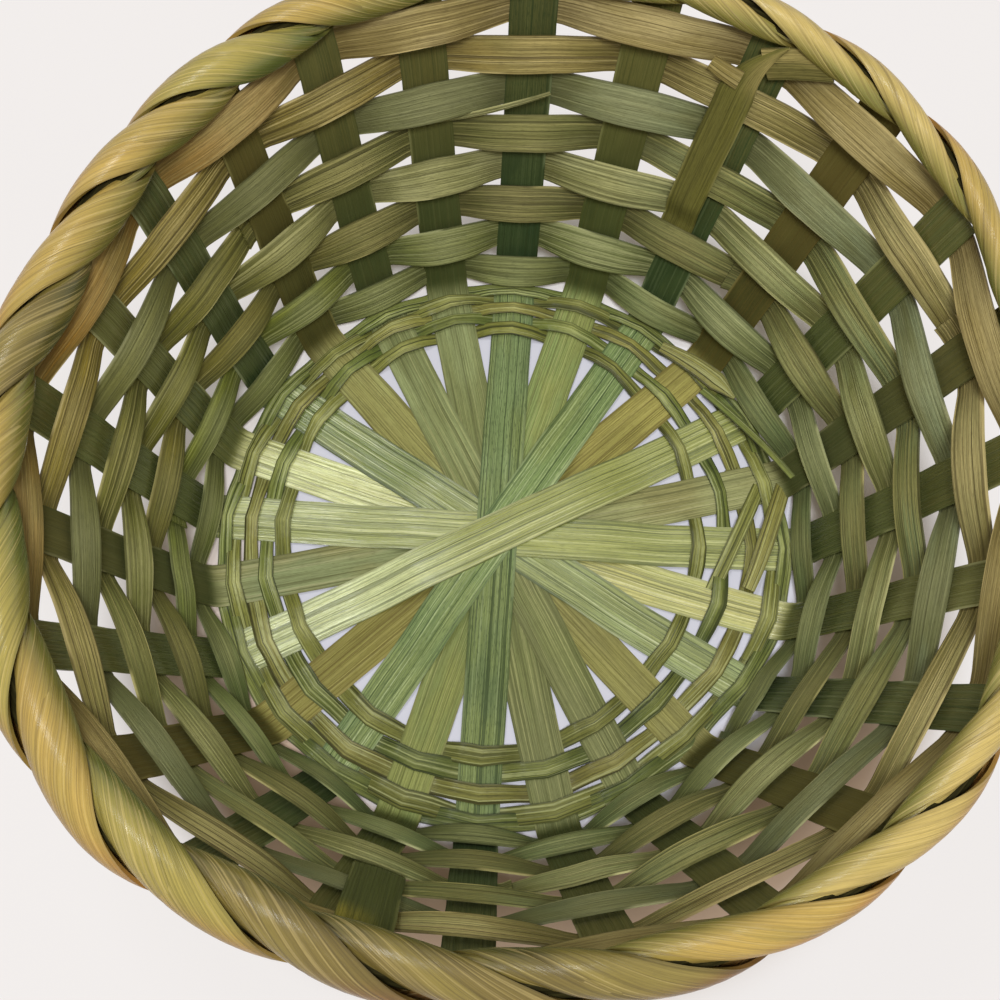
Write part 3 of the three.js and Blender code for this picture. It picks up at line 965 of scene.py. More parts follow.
@dataclass
class WallRows:
    """Eight flat strips, each woven once round the stakes.

    A row bows inwards in front of each stake, less where a folded tail, named by its stake and the row
    that it is tucked behind, holds it down.
    """

    size: BasketSize
    lap_stakes: tuple[int, ...] = (9, 18, 3, 12, 21, 15, 5, 14)
    lap_reach: float = 0.36
    lap_climb: tuple[float, float] = (0.9, 0.4)
    back_push: float = 0.00066
    tails: tuple[tuple[int, int], ...] = ((2, 2), (13, 3))
    front_bow: float = 0.0013
    bow_change: tuple[float, float] = (-0.0005, 0.0007)
    edge_bow: float = 0.0006
    edge_bow_change: tuple[float, float] = (-0.0004, 0.0004)
    back_bow: float = 0.0005
    held_bow: float = 0.35
    front_width: float = 0.90
    back_width: float = 0.09
    front_turn: float = 15.0
    widths: tuple[float, ...] = (0.0086, 0.0091, 0.0093, 0.0093, 0.0092, 0.0090, 0.0088, 0.0090)
    stake_clearance: float = 0.0004
    bend: float = 0.0005
    wander: float = 0.00022
    wander_stakes: float = 8.0
    wander_waves: int = 5
    curl: float = 0.00018
    ragged: float = 0.03
    shades: tuple[Shade, ...] = (
        Shade.ROW_GREEN, Shade.ROW_SAGE, Shade.ROW_BROWN, Shade.ROW_BEIGE, Shade.ROW_OLIVE,
        Shade.ROW_GREY_GREEN, Shade.ROW_TAN, Shade.ROW_GOLD)
    facets: tuple[int, int] = (312, 36)
    weave_seed: int = 300
    strip_seed: int = 320

    def build(self) -> list[bpy.types.Object]:
        """Builds all the rows, lowest first."""
        return [self._row(row) for row in range(self.size.row_count)]

    def _held(self, row: int, passes: int) -> Array:
        """How much of its bow a row keeps on each of its passes."""
        held = np.ones(passes)
        for tail_stake, tuck_row in self.tails:
            crossing = row + tail_stake
            if row > tuck_row and crossing % 2 == 0:
                both_laps = (crossing // 2, (crossing + self.size.stake_count) // 2)
                held[np.mod(both_laps, passes)] = self.held_bow
        return held

    def _row(self, row: int) -> bpy.types.Object:
        """Builds one row, from its lap once round to the lap again."""
        size = self.size
        rng = np.random.default_rng(self.weave_seed + row)
        first = self.lap_stakes[row]
        inside_lap = (row + first) % 2 == 0
        span = size.stake_count + 2.0 * self.lap_reach
        passes = size.stake_count + 2
        bows = self.front_bow + rng.uniform(*self.bow_change, passes)
        twists = self.edge_bow + rng.uniform(*self.edge_bow_change, passes)
        held = self._held(row, passes)
        wander = Drift(rng, self.wander_stakes, self.wander_waves)
        centre = size.row_centre(row)
        width = self.widths[row]
        radius = size.corner_radius + centre * math.cos(size.wall_slope)
        reach = 1.0 - (size.stake_width / 2.0 + self.stake_clearance) / (radius * size.stake_step)
        lap_start, lap_length = self.lap_climb

        def stake_at(along: Array) -> Array:
            """The stake that a part of the row lies at, counted with fractions."""
            return first - self.lap_reach + along * span

        def from_inside(along: Array) -> Array:
            """Is 0 where the row lies inside a stake and 1 where it lies outside the next."""
            return 1.0 - np.abs(1.0 - np.mod(stake_at(along) + row, 2.0))

        def route(along: Array, across: Array, lift: Array) -> Array:
            """Places points of the row."""
            stake = stake_at(along)
            off = from_inside(along)
            near = np.mod(np.round((stake + row) / 2.0).astype(int), passes)
            chord = 1.0 - math.cos(reach * size.stake_step) / np.cos(off * size.stake_step)
            angle = size.stake_angle(stake)
            back = np.clip(np.sin(angle), 0.0, 1.0)
            bow = (bows[near] - (twists[near] + self.back_bow * back) * across) * held[near]
            inward = radius * chord / math.sin(size.wall_slope) + bow * (1.0 - (off / reach) ** 2)
            push = self.back_push - (inward + np.hypot(inward, self.bend)) / 2.0
            lap = ease((along * span - size.stake_count + lap_start) / lap_length) * size.layer
            push += -lap if inside_lap else lap
            half = width / 2.0 * (self.front_width + self.back_width * back)
            length = centre + across * half + wander(stake) * self.wander
            return size.on_wall(angle, length, push - lift)

        def tint(along: Array, across: Array) -> Array:
            """Golden on the left of the basket, greyer on the right."""
            # Painted light colour: warm shade on the left of the basket and cool window light on the right.
            return 0.5 + 0.5 * np.cos(size.stake_angle(first + along * span))

        def front(along: Array, across: Array) -> Array:
            """Goes over to the front colour in the front half, most a little to its left."""
            # The front colour is painted shade.
            return -np.sin(size.stake_angle(first + along * span) + math.radians(self.front_turn))

        def crest(along: Array, across: Array) -> Array:
            """Is 1 at the crest of a pass, inside or outside, and 0 beside a stake."""
            # The finish paints a highlight on the crests and shade beside the stakes.
            off = from_inside(along)
            return np.where(off < reach, 1.0 - off / reach, (off - reach) / (1.0 - reach))

        cut = StripCut(
            f"woven_row_{row + 1}", radius * span * size.stake_step, width, self.facets,
            self.strip_seed + row, curl=self.curl, ragged=self.ragged)
        piece = cut.lay(route, tint, {OTHER: front, CREST: crest})
        dress(piece, f"wall_row_{row + 1}", self.shades[row])
        return piece


@dataclass
class BaseBinding:
    """Narrow strips woven round the flat edge of the base, and one more that lies in the corner.

    The rows spread where the maker drew them in less: most on the right, least at the back.
    """

    size: BasketSize
    node_count: int = 4
    strip_width: float = 0.0033
    thickness_share: float = 0.8
    outer_centre: float = 0.0640
    corner_centre: float = 0.0659
    pitch: float = 0.00435
    pitch_right: float = 0.00115
    pitch_back: float = -0.00092
    pitch_oval: float = 0.0006
    crown: float = 0.0005
    crown_fall: float = 0.5
    lean: float = 0.0003
    corner_climb: float = 0.3
    front_fill: float = 0.34
    front_painted_shade: float = 0.65
    table_gap: float = 0.00018
    stake_clearance: float = 0.0002
    lap_stakes: tuple[int, ...] = (7, 6, 5, 8, 10)
    lap_reach: float = 0.36
    lap_climb: tuple[float, float] = (0.9, 0.3)
    wander: float = 0.0005
    wander_stakes: float = 7.0
    wander_waves: int = 6
    swell: float = 0.14
    swell_stakes: float = 3.0
    swell_waves: int = 5
    curl: float = 0.00004
    ragged: float = 0.06
    under_shade: float = 0.12
    over_highlight: float = 0.74
    tint_change: float = 0.14
    tint_waves: float = 23.0
    tint_turn: float = 1.9
    shades: tuple[Shade, ...] = (
        Shade.BINDING_OLIVE, Shade.BINDING_GREEN, Shade.BINDING_TAN, Shade.BINDING_OLIVE, Shade.BINDING_GREEN)
    facets: tuple[int, int] = (420, 12)
    weave_seed: int = 500
    strip_seed: int = 520

    def build(self) -> list[bpy.types.Object]:
        """Builds all the rows, innermost first."""
        return [self._row(row) for row in range(len(self.lap_stakes))]

    def _centre(self, row: int, angle: Array) -> Array:
        """Distance of a row from the axis, at each angle."""
        if row >= self.node_count:
            return np.full_like(angle, self.corner_centre)
        pitch = self.pitch + self.pitch_right * np.cos(angle) + self.pitch_back * np.sin(angle)
        pitch = pitch + self.pitch_oval * np.cos(2.0 * angle)
        return self.outer_centre - (self.node_count - 1 - row) * pitch

    def _row(self, row: int) -> bpy.types.Object:
        """Builds one binding row."""
        size = self.size
        rng = np.random.default_rng(self.weave_seed + row)
        first = self.lap_stakes[row]
        over_lap = (row + first) % 2 == 0
        span = size.stake_count + 2.0 * self.lap_reach
        wander = Drift(rng, self.wander_stakes, self.wander_waves)
        swell = Drift(rng, self.swell_stakes, self.swell_waves)
        edge = (size.stake_width / 2.0 + self.stake_clearance) / (self.outer_centre * size.stake_step)
        lap_start, lap_length = self.lap_climb

        def over_stake(along: Array) -> Array:
            """Is 1 where the row lies over a stake and 0 where it lies under the next."""
            return np.abs(1.0 - np.mod(first - self.lap_reach + along * span + row, 2.0))

        def route(along: Array, across: Array, lift: Array) -> Array:
            """Places points of the row, straight from stake to stake."""
            stake = first - self.lap_reach + along * span
            angle = size.stake_angle(stake)
            swing = ease((over_stake(along) - edge) / (1.0 - 2.0 * edge))
            fill = self.front_fill * np.clip(-np.sin(angle), 0.0, 1.0)
            width = self.strip_width * (1.0 + self.swell * swell(stake) + fill)
            chord = math.cos(size.stake_step / 2.0) / np.cos((np.mod(stake, 1.0) - 0.5) * size.stake_step)
            radius = self._centre(row, angle) * chord + across * width / 2.0 + self.wander * wander(stake)
            lap = ease((along * span - size.stake_count + lap_start) / lap_length) * size.layer
            arch = swing * (self.crown * (1.0 - self.crown_fall * across * across) - self.lean * across)
            under = size.stake_level - size.layer + self.table_gap
            height = under + (2.0 * size.layer - self.table_gap) * swing + arch
            height += size.corner_rise(radius) * (self.corner_climb + (1.0 - self.corner_climb) * swing)
            height += lap if over_lap else 0.0
            return size.around(angle, radius, height + lift)

        def tint(along: Array, across: Array) -> Array:
            """Bright where the row lies over a stake."""
            # Painted highlight where the row lies over a stake and painted shade where it passes under.
            change = self.tint_change * np.sin(along * self.tint_waves + row * self.tint_turn)
            return self.under_shade + self.over_highlight * over_stake(along) ** 2 + change

        def front(along: Array, across: Array) -> Array:
            """Goes over to the front colour in the front half."""
            # The front colour is painted shade.
            return -self.front_painted_shade * np.sin(size.stake_angle(first + along * span))

        cut = StripCut(
            f"ring_binding_{row + 1}", self.outer_centre * span * size.stake_step, self.strip_width,
            self.facets, self.strip_seed + row, thickness=size.strip_thickness * self.thickness_share,
            curl=self.curl, ragged=self.ragged)
        piece = cut.lay(route, tint, {OTHER: front})
        node = f"base_binding_{row + 1}" if row < self.node_count else None
        dress(piece, node, self.shades[row])
        return piece


class TailSide(Enum):
    """The two folded tails, by the side of the basket."""

    BACK = "back"
    FRONT = "front"


@dataclass(frozen=True)
class TailPlace:
    """Where a tail lies on the wall, sideways from its stake, and how much its fold leans."""

    side: TailSide
    stake: int
    tuck_row: int
    width: float
    low: float
    high: float
    tip: float
    lean: float
    shade: Shade


@dataclass
class FoldedTails:
    """Border ends that are turned down inside the wall and tucked behind a row.

    The back one twists to a point at its fold, and what it is the end of runs on under the rope. The
    places of the tuck are shares of a row's pitch.
    """

    size: BasketSize
    under_rope: float = 0.33
    lay_push: float = -0.0034
    tuck_push: float = -0.0009
    tuck_end: float = -0.45
    tuck_top: float = 0.5
    tuck_climb: float = 0.8
    fold_length: float = 0.0156
    fold_narrowing: float = 0.97
    fold_power: float = 1.2
    fold_push: float = 0.0006
    fold_twist: float = 0.0020
    front_push: float = 0.0008
    curl: float = 0.0004
    run_length: float = 0.0145
    run_width: float = 0.0072
    run_climb: float = 34.0
    run_start: tuple[float, float] = (-0.0048, -0.0007)
    run_hidden: float = 0.003
    run_push: float = 0.0009
    run_curl: float = 0.0003
    rib_depth: float = 0.00002
    low_tint: float = 0.3
    fold_tint: float = 0.42
    fold_side_tint: float = 0.28
    fold_change: tuple[float, float] = (0.58, 0.34)
    places: tuple[TailPlace, ...] = (
        TailPlace(TailSide.BACK, 2, 2, 0.0080, -0.0032, -0.0024, 0.0034, 0.0, Shade.TAIL_OLIVE),
        TailPlace(TailSide.FRONT, 13, 3, 0.0108, -0.0024, -0.0066, -0.0066, 0.0013, Shade.TAIL_GREEN))
    facets: tuple[int, int] = (72, 40)
    run_facets: tuple[int, int] = (32, 30)
    seed: int = 600
    run_seed: int = 640

    @property
    def top(self) -> float:
        """Upper end of a tail, up the wall."""
        return self.size.wall_length - self.size.rope_radius * self.under_rope

    def build(self) -> list[bpy.types.Object]:
        """Builds both tails."""
        return [self._tail(place) for place in self.places]

    def _tail(self, place: TailPlace) -> bpy.types.Object:
        """Builds one tail, gives it its finish and hides the solid that it stands for."""
        piece = self._fall(place)
        if place.side is TailSide.BACK:
            piece = join([piece, self._run(place)])
        dress(piece, f"folded_tail_{place.side.value}", place.shade)
        return piece

    def _fall(self, place: TailPlace) -> bpy.types.Object:
        """Builds the stretch that comes down the wall, from its tucked end up to the rim."""
        size = self.size
        tuck_end = size.row_centre(place.tuck_row) + size.row_pitch * self.tuck_end
        tuck_top = size.row_centre(place.tuck_row) + size.row_pitch * self.tuck_top
        angle = size.stake_angle(place.stake)
        twisted = place.side is TailSide.BACK

        def route(along: Array, across: Array, lift: Array) -> Array:
            """Places points of the stretch."""
            end = self.top + place.lean * (across - 1.0)
            length = tuck_end + along * (end - tuck_end)
            rise = ramp(length, tuck_top, size.row_pitch * self.tuck_climb)
            past = np.clip((length - end + self.fold_length) / self.fold_length, 0.0, 1.0)
            push = self.tuck_push + (self.lay_push - self.tuck_push) * rise
            centre = place.low + (place.high - place.low) * along
            half = np.full_like(along, place.width / 2.0)
            if twisted:
                half = half * (1.0 - self.fold_narrowing * past ** self.fold_power)
                centre = centre + (place.tip - centre) * past * past
                push = push + self.fold_push * past - self.fold_twist * past * (1.0 - past) * across
            else:
                push = push + self.front_push * past ** 3
            return size.on_wall(angle, length, push - lift, centre + across * half)

        def tint(along: Array, across: Array) -> Array:
            """Paler at the fold, most on its clockwise side."""
            fold = self.fold_tint + self.fold_side_tint * across
            return self.low_tint + fold * ramp(along, *self.fold_change)

        cut = StripCut(
            f"folded_strip_{place.side.value}", self.top - tuck_end, place.width, self.facets,
            self.seed + place.stake, rib_depth=self.rib_depth, curl=self.curl)
        return cut.lay(route, tint)

    def _run(self, place: TailPlace) -> bpy.types.Object:
        """Builds the stretch that comes out from under the rope, up to the fold."""
        size = self.size
        angle = size.stake_angle(place.stake)
        climb = math.radians(self.run_climb)

        def route(along: Array, across: Array, lift: Array) -> Array:
            """Places points of the stretch."""
            reach = along * self.run_length - self.run_hidden
            half = across * self.run_width / 2.0
            length = self.top + self.run_start[0] + reach * math.sin(climb) + half * math.cos(climb)
            sideways = place.tip + self.run_start[1] + reach * math.cos(climb) - half * math.sin(climb)
            sag = sideways * sideways / (2.0 * size.rim_radius)
            push = self.lay_push + self.run_push - sag
            return size.on_wall(angle, length, push - lift, sideways)

        cut = StripCut(
            "folded_run", self.run_length, self.run_width, self.run_facets, self.run_seed,
            rib_depth=self.rib_depth, curl=self.run_curl)
        return cut.lay(route, lambda along, across: np.ones_like(along))


@dataclass(frozen=True)
class LooseEnd:
    """One loose strip end: the points that it passes, its widths there, its shade and its slot.

    It faces into the basket at the wall's angle in degrees, or up if it lies on the base.
    """

    name: str
    points: tuple[Place, ...]
    widths: tuple[float, ...]
    shade: Shade
    slot: str
    wall_angle: float | None = None


@dataclass
class LooseEnds:
    """Cut ends and splinters that the maker left lying on the weave."""

    size: BasketSize
    thickness: float = 0.0003
    rib_depth: float = 0.00002
    curl: float = 0.00005
    first_tint: float = 0.4
    tint_change: float = 0.3
    # The crest mark that the row finishes read: it gives a little painted highlight and no painted shade.
    crest: float = 0.6
    ends: tuple[LooseEnd, ...] = (
        LooseEnd(
            "wall_splinter",
            ((-0.0197, 0.0838, 0.0510), (-0.0052, 0.0845, 0.0556), (0.0080, 0.0857, 0.0611)),
            (0.0006, 0.0015, 0.0009), Shade.ROW_BEIGE, "weaver_olive", 90.0),
        LooseEnd(
            "row_end",
            ((0.0408, 0.0848, 0.0762), (0.0432, 0.0832, 0.0757), (0.0468, 0.0809, 0.0752)),
            (0.0038, 0.0046, 0.0052), Shade.ROW_TAN, "weaver_olive", 60.0),
        LooseEnd(
            "ring_end_leaf",
            ((0.0376, 0.0500, 0.0020), (0.0445, 0.0457, 0.0027), (0.0508, 0.0406, 0.0032),
             (0.0548, 0.0362, 0.0036)),
            (0.0030, 0.0046, 0.0052, 0.0010), Shade.BINDING_TAN, "binding_olive"),
        LooseEnd(
            "ring_end_slim",
            ((0.0473, 0.0387, 0.0023), (0.0575, 0.0270, 0.0064), (0.0664, 0.0137, 0.0120)),
            (0.0020, 0.0019, 0.0015), Shade.BINDING_GREEN, "binding_olive"),
        LooseEnd(
            "ring_end_crossing",
            ((0.0613, 0.0165, 0.0004), (0.0576, 0.0085, 0.0020), (0.0545, 0.0020, 0.0024),
             (0.0512, -0.0048, 0.0020), (0.0474, -0.0124, 0.0004)),
            (0.0032, 0.0034, 0.0034, 0.0034, 0.0032), Shade.BINDING_OLIVE, "binding_olive"),
        LooseEnd(
            "ring_end_cut",
            ((0.0671, 0.0170, 0.0004), (0.0640, 0.0086, 0.0024), (0.0609, -0.0001, 0.0030),
             (0.0564, -0.0111, 0.0028)),
            (0.0036, 0.0040, 0.0042, 0.0032), Shade.BINDING_TAN, "binding_olive"))
    facets: tuple[int, int] = (40, 12)
    seed: int = 900

    def build(self) -> list[bpy.types.Object]:
        """Builds all the ends."""
        return [self._end(end, self.seed + index) for index, end in enumerate(self.ends)]

    def _facing(self, end: LooseEnd) -> Array:
        """The way that an end's face looks."""
        if end.wall_angle is None:
            return np.array((0.0, 0.0, 1.0))
        angle = math.radians(end.wall_angle)
        slope = self.size.wall_slope
        return np.array((
            -math.cos(angle) * math.sin(slope), -math.sin(angle) * math.sin(slope), math.cos(slope)))

    def _end(self, end: LooseEnd, seed: int) -> bpy.types.Object:
        """Builds one end along a smooth curve through its points."""
        points = np.array(end.points)
        steps = np.linalg.norm(np.diff(points, axis=0), axis=1)
        travel = np.concatenate(([0.0], np.cumsum(steps)))
        spots = travel / travel[-1]
        curves = [np.polyfit(spots, column, len(spots) - 1) for column in points.T]
        facing = self._facing(end)

        def route(along: Array, across: Array, lift: Array) -> Array:
            """Places points of the end."""
            middle = np.stack([np.polyval(curve, along) for curve in curves], axis=-1)
            way = np.stack([np.polyval(np.polyder(curve), along) for curve in curves], axis=-1)
            side = np.cross(facing, way)
            side = side / np.linalg.norm(side, axis=-1, keepdims=True)
            half = np.interp(along, spots, end.widths) * across / 2.0
            return middle + side * half[:, None] + facing * lift[:, None]

        cut = StripCut(
            f"loose_{end.name}", travel[-1], max(end.widths), self.facets, seed, thickness=self.thickness,
            rib_depth=self.rib_depth, curl=self.curl)
        piece = cut.lay(
            route, lambda along, across: self.first_tint + self.tint_change * along,
            {CREST: lambda along, across: np.full_like(along, self.crest)})
        dress(piece, None, end.shade)
        return piece


@dataclass
class RopeBorder:
    """Twenty-four rolled stake ends laid over the rim as a rope, and the bundle inside it.

    A strand is three overlapping leaves. Their places and widths are shares of half a stake's step.
    """

    size: BasketSize
    lay_angle: float = 28.0
    seam: float = 12.0
    crown: float = 0.0018
    crown_power: float = 2.2
    leaf_centres: tuple[float, ...] = (-0.88, -0.30, 0.32)
    leaf_halves: tuple[float, ...] = (0.30, 0.52, 0.60)
    leaf_drops: tuple[float, ...] = (0.0011, 0.0003, 0.0)
    leaf_tilts: tuple[float, ...] = (0.0002, 0.0002, 0.0004)
    leaf_thickness: float = 0.0008
    leaf_end: float = 0.62
    centre_change: float = 0.06
    half_change: tuple[float, float] = (0.92, 1.08)
    tilt_change: float = 0.0001
    drop_change: float = 0.0002
    slant: float = 0.06
    swell: float = 0.0003
    tuck: float = 0.0011
    tuck_reach: float = 0.14
    roll: float = 0.00016
    roll_length: float = 0.9
    roll_waves: int = 3
    strand_width: float = 0.0078
    ragged: float = 0.03
    fullest_strand: float = 16.5
    girth_change: float = 0.0013
    girth_shift: float = 0.45
    body_change: tuple[float, float] = (0.14, 0.34)
    outer_change: tuple[float, float] = (0.48, 0.26)
    core_lobes: int = 7
    core_twists: int = 18
    core_share: float = 0.86
    core_groove: float = 0.08
    core_girth: float = 0.7
    core_merge: float = 0.00001
    shades: tuple[Shade, ...] = (
        Shade.STRAW, Shade.STRAW, Shade.STRAW, Shade.STRAW, Shade.STRAW, Shade.STRAW_GOLD,
        Shade.STRAW_TAN, Shade.STRAW_GOLD, Shade.STRAW, Shade.STRAW, Shade.STRAW, Shade.STRAW_GOLD,
        Shade.STRAW_TAN, Shade.STRAW_TAN, Shade.STRAW_TAN, Shade.STRAW_GREEN, Shade.STRAW_GOLD,
        Shade.STRAW_GREEN, Shade.STRAW_GOLD, Shade.STRAW_TAN, Shade.STRAW_GOLD, Shade.STRAW_GOLD,
        Shade.STRAW_GREEN, Shade.STRAW_GOLD)
    leaf_facets: tuple[int, int] = (48, 16)
    core_facets: tuple[int, int] = (288, 42)
    strand_seed: int = 700
    leaf_seed: int = 710

    def build(self) -> list[bpy.types.Object]:
        """Builds the strands and the core."""
        pieces = [self._strand(strand) for strand in range(self.size.stake_count)]
        pieces.append(self._core())
        return pieces

    def _at(self, angle: Array, turn: Array, radius: Array) -> Array:
        """Points round the rope: a turn of 0 is outwards and a quarter turn is up."""
        size = self.size
        return size.around(
            angle, size.rim_radius + radius * np.cos(turn), size.rim_level + radius * np.sin(turn))

    def _girth(self, angle: Array) -> Array:
        """How much thicker the rope is at an angle: full at the front left, slim at the back right."""
        fullest = self.size.stake_angle(self.fullest_strand)
        return self.girth_change * (np.cos(angle - fullest) - self.girth_shift)

    def _strand(self, strand: int) -> bpy.types.Object:
        """Builds one strand from three overlapping leaves."""
        rng = np.random.default_rng(self.strand_seed + strand)
        swell = rng.uniform(-self.swell, self.swell)
        piece = join([self._leaf(strand, leaf, swell, rng) for leaf in range(len(self.leaf_centres))])
        piece.name = f"rope_strand_{strand + 1:02d}"
        piece.data.name = piece.name
        dress(piece, f"border_strand_{strand + 1:02d}", self.shades[strand])
        return piece

    def _leaf(self, strand: int, leaf: int, swell: float, rng: np.random.Generator) -> bpy.types.Object:
        """Builds one leaf of a strand.

        Args:
            strand: The strand.
            leaf: The leaf's number in the strand.
            swell: How much thicker this strand is.
            rng: Seeded source of the strand's unevenness.

        Returns:
            The leaf.
        """
        size = self.size
        begin = math.pi + size.wall_slope - math.radians(self.seam)
        sweep = math.tau - 2.0 * math.radians(self.seam)
        centre = self.leaf_centres[leaf] + rng.uniform(-self.centre_change, self.centre_change)
        half = self.leaf_halves[leaf] * rng.uniform(*self.half_change)
        tilt = self.leaf_tilts[leaf] + rng.uniform(-self.tilt_change, self.tilt_change)
        drop = self.leaf_drops[leaf] + rng.uniform(-self.drop_change, self.drop_change)
        slant = rng.uniform(-self.slant, self.slant)
        roll = Drift(rng, self.roll_length, self.roll_waves)

        def route(along: Array, across: Array, lift: Array) -> Array:
            """Places points of the leaf."""
            narrow = self.leaf_end + (1.0 - self.leaf_end) * np.sin(along * math.pi)
            place = centre + slant * (along - 0.5) * 2.0 + across * half * narrow
            turn = begin - sweep * along
            angle = (size.stake_angle(strand) + math.radians(self.lay_angle) * along
                     + place * size.stake_step / 2.0)
            tuck = (1.0 - ease(along / self.tuck_reach)) + (1.0 - ease((1.0 - along) / self.tuck_reach))
            fall = drop + self.crown * np.abs(place) ** self.crown_power + self.tuck * tuck
            radius = size.rope_radius + self._girth(angle) + swell - fall
            radius = radius + tilt * across + self.roll * roll(along)
            return self._at(angle, turn, radius - self.leaf_thickness / 2.0 + lift)

        def tint(along: Array, across: Array) -> Array:
            """Green inside the rim, straw over it and browner outside."""
            return 0.5 * ramp(along, *self.body_change) + 0.5 * ramp(along, *self.outer_change)

        length = math.hypot(size.rim_radius * math.radians(self.lay_angle), size.rope_radius * sweep)
        cut = StripCut(
            f"rope_leaf_{strand + 1:02d}_{leaf + 1}", length, 2.0 * half * self.strand_width,
            self.leaf_facets, self.leaf_seed + strand * 4 + leaf, thickness=self.leaf_thickness,
            ragged=self.ragged)
        return cut.lay(route, tint)

    def _core(self) -> bpy.types.Object:
        """Builds the bundle of stake tails inside the rope as one lobed ring."""
        size = self.size
        core = add_sheet("rope_core", self.core_facets)
        mesh = core.data
        flat = points_of(mesh)
        angle = -flat[:, 0] * math.pi
        turn = flat[:, 1] * math.pi
        lobes = np.cos(turn * self.core_lobes + angle * self.core_twists)
        radius = size.core_radius * (self.core_share + self.core_groove * lobes)
        points = self._at(angle, turn, radius + self.core_girth * self._girth(angle))
        mesh.vertices.foreach_set("co", points.ravel())
        mark(mesh, TINT, np.zeros(len(flat)))
        # The edge mark is highest in the grooves between the lobes, where the finish paints shade.
        mark(mesh, EDGE, np.clip(0.5 - 0.5 * lobes, 0.0, 1.0))
        mesh.update()
        bpy.ops.object.mode_set(mode="EDIT")
        bpy.ops.mesh.select_all(action="SELECT")
        bpy.ops.mesh.remove_doubles(threshold=self.core_merge)
        bpy.ops.mesh.normals_make_consistent(inside=False)
        bpy.ops.object.mode_set(mode="OBJECT")
        bpy.ops.object.shade_smooth()
        dress(core, "rim_core", Shade.ROPE_CORE)
        return core


@dataclass(frozen=True)
class Lamp:
    """One square lamp that faces the basket: its place, width and watts, and if glossy surfaces show it."""

    name: str
    place: Place
    width: float
    power: float
    glints: bool

    def hang(self, colour: Place) -> None:
        """Hangs the lamp and gives its light a colour."""
        bpy.ops.object.light_add(type="AREA", location=self.place)
        lamp = bpy.context.active_object
        lamp.name = self.name
        lamp.data.size = self.width
        lamp.data.energy = self.power
        lamp.data.color = colour
        lamp.visible_glossy = self.glints
        x, y, z = self.place
        lean = math.atan2(math.hypot(x, y), z - SIZE.height / 2.0)
        lamp.rotation_euler = (lean, 0.0, math.atan2(y, x) + math.pi / 2.0)


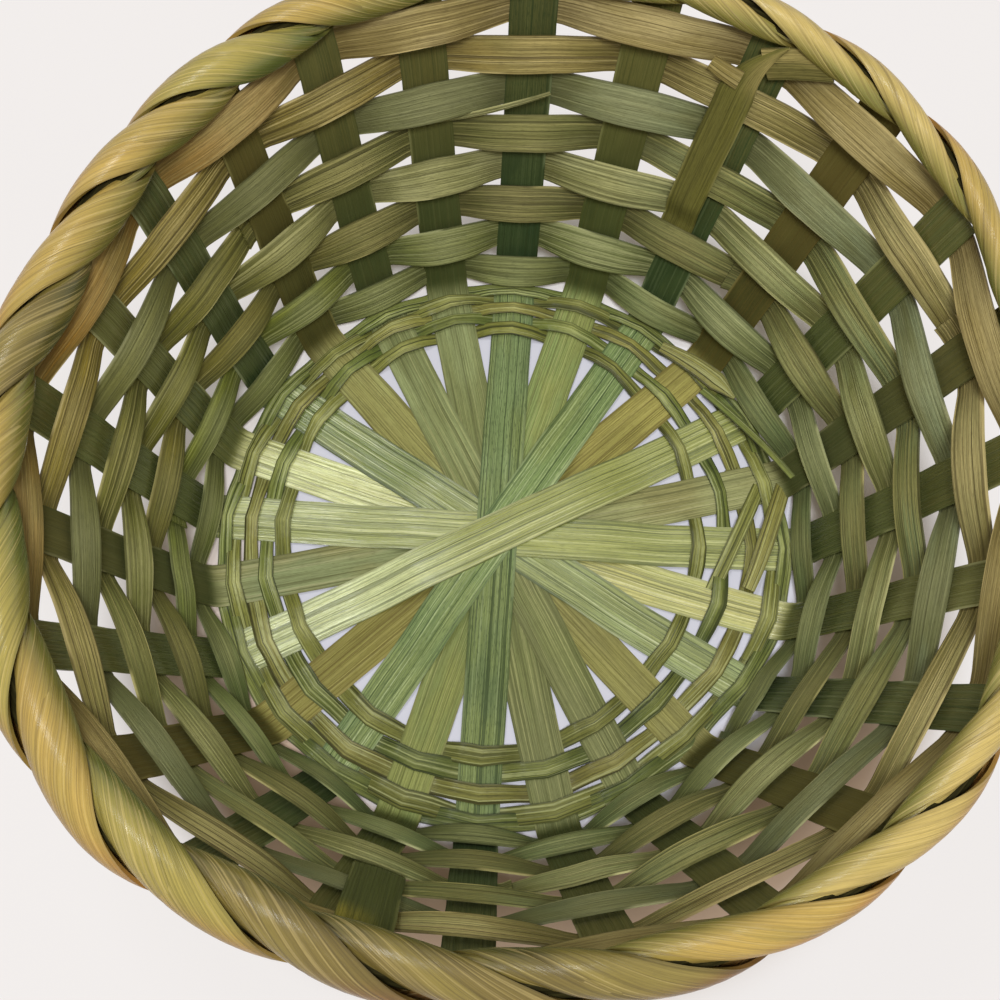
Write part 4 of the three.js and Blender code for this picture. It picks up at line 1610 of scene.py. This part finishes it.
@dataclass
class Studio:
    """Pale table, soft light and the camera.

    The table has painted shade, cool inside the base and warm under the front of the wall, and is pale beyond
    that painted shade.
    """

    camera_place: Place = (-0.0081, -0.0968, 0.3813)
    camera_turn: Place = (15.82, -0.92, 0.0)
    focal_pixels: float = 1650.0
    image_pixels: float = 1000.0
    sensor: float = 36.0
    nearest: float = 0.01
    sky_strength: float = 0.29
    sky_colour: tuple[float, float, float, float] = (1.0, 0.85, 0.70, 1.0)
    lamp_colour: Place = (0.98, 1.0, 1.03)
    lamps: tuple[Lamp, ...] = (
        Lamp("ceiling_light", (0.02, -0.28, 1.10), 0.24, 8.2, False),
        Lamp("window_light", (-0.20, 0.26, 1.00), 0.20, 2.0, True))
    table_width: float = 6.0
    table_roughness: float = 0.7
    table: Colour = (244, 241, 240)
    table_mottle: Colour = (239, 236, 235)
    mottle_scale: float = 9.0
    mottle_layers: float = 4.0
    mottle_span: tuple[float, float] = (0.35, 0.65)
    inner_painted_shade: Colour = (214, 214, 224)
    lit_table: Colour = (242, 238, 236)
    shaded_table: Colour = (182, 158, 136)
    lit_share: float = 0.85
    shade_start: tuple[float, float] = (0.062, 0.070)
    shade_end: tuple[float, float] = (0.088, 0.108)
    shade_front: tuple[float, float] = (0.055, -0.060)
    shade_middle: Place = (0.007, -0.008, 0.0)

    def build(self) -> None:
        """Builds the table, the sky, the lamps and the camera."""
        self._table()
        self._sky()
        for lamp in self.lamps:
            lamp.hang(self.lamp_colour)
        self._camera()

    def _table(self) -> None:
        """Builds the pale floor."""
        bpy.ops.object.select_all(action="DESELECT")
        bpy.ops.mesh.primitive_plane_add(size=self.table_width)
        floor = bpy.context.active_object
        floor.name = "pale_table"
        bench = NodeBench(bpy.data.materials.new("table_white"))
        place = bench.add("ShaderNodeTexCoord").outputs["Object"]
        mottle = bench.add("ShaderNodeTexNoise", inputs={
            "Vector": place, "Scale": self.mottle_scale, "Detail": self.mottle_layers})
        tone = bench.spread(mottle.outputs["Fac"], *self.mottle_span)
        colour = bench.blend(tone, linear(*self.table), linear(*self.table_mottle))
        away = bench.add("ShaderNodeVectorMath", {"operation": "DISTANCE"}, {
            0: place, 1: self.shade_middle}).outputs["Value"]
        depth = bench.add("ShaderNodeSeparateXYZ", inputs={0: place}).outputs["Y"]
        # Painted shade on the table: cool inside the base, warm under the front of the wall.
        outside = bench.spread(away, *self.shade_start)
        colour = bench.blend(outside, linear(*self.inner_painted_shade), colour)
        ring = bench.share(outside, bench.spread(away, *self.shade_end, 1.0, 0.0))
        shaded = bench.share(ring, bench.spread(depth, *self.shade_front))
        colour = bench.blend(shaded, colour, linear(*self.shaded_table))
        shader = bench.add("ShaderNodeBsdfPrincipled", inputs={
            "Base Color": colour, "Roughness": self.table_roughness})
        lit = bench.add("ShaderNodeEmission", inputs={"Color": linear(*self.lit_table)})
        share = bench.share(bench.spread(away, *self.shade_end, 0.0, self.lit_share), bench.background())
        bench.finish("ShaderNodeOutputMaterial", share, shader.outputs["BSDF"], lit.outputs["Emission"])
        floor.data.materials.append(bench.owner)

    def _sky(self) -> None:
        """Builds soft light from all round, which the camera sees as white."""
        world = bpy.data.worlds.new("soft_room")
        bpy.context.scene.world = world
        bench = NodeBench(world)
        light = bench.add("ShaderNodeBackground", inputs={
            "Color": self.sky_colour, "Strength": self.sky_strength})
        white = bench.add("ShaderNodeBackground", inputs={"Color": (1.0, 1.0, 1.0, 1.0), "Strength": 1.0})
        bench.finish(
            "ShaderNodeOutputWorld", bench.background(), light.outputs["Background"],
            white.outputs["Background"])

    def _camera(self) -> None:
        """Sets the camera where the photograph was taken."""
        bpy.ops.object.camera_add(
            location=self.camera_place, rotation=[math.radians(turn) for turn in self.camera_turn])
        camera = bpy.context.active_object
        camera.data.sensor_width = self.sensor
        camera.data.lens = self.focal_pixels / self.image_pixels * self.sensor
        camera.data.clip_start = self.nearest
        bpy.context.scene.camera = camera
        bpy.context.scene.view_settings.view_transform = "Standard"


def main() -> None:
    """Builds the basket piece by piece, then the studio."""
    logging.basicConfig(level=logging.INFO, format="%(name)s: %(message)s")
    StakeStrips(SIZE).build()
    WallRows(SIZE).build()
    BaseBinding(SIZE).build()
    FoldedTails(SIZE).build()
    LooseEnds(SIZE).build()
    RopeBorder(SIZE).build()
    Studio().build()


if __name__ == "__main__":
    main()
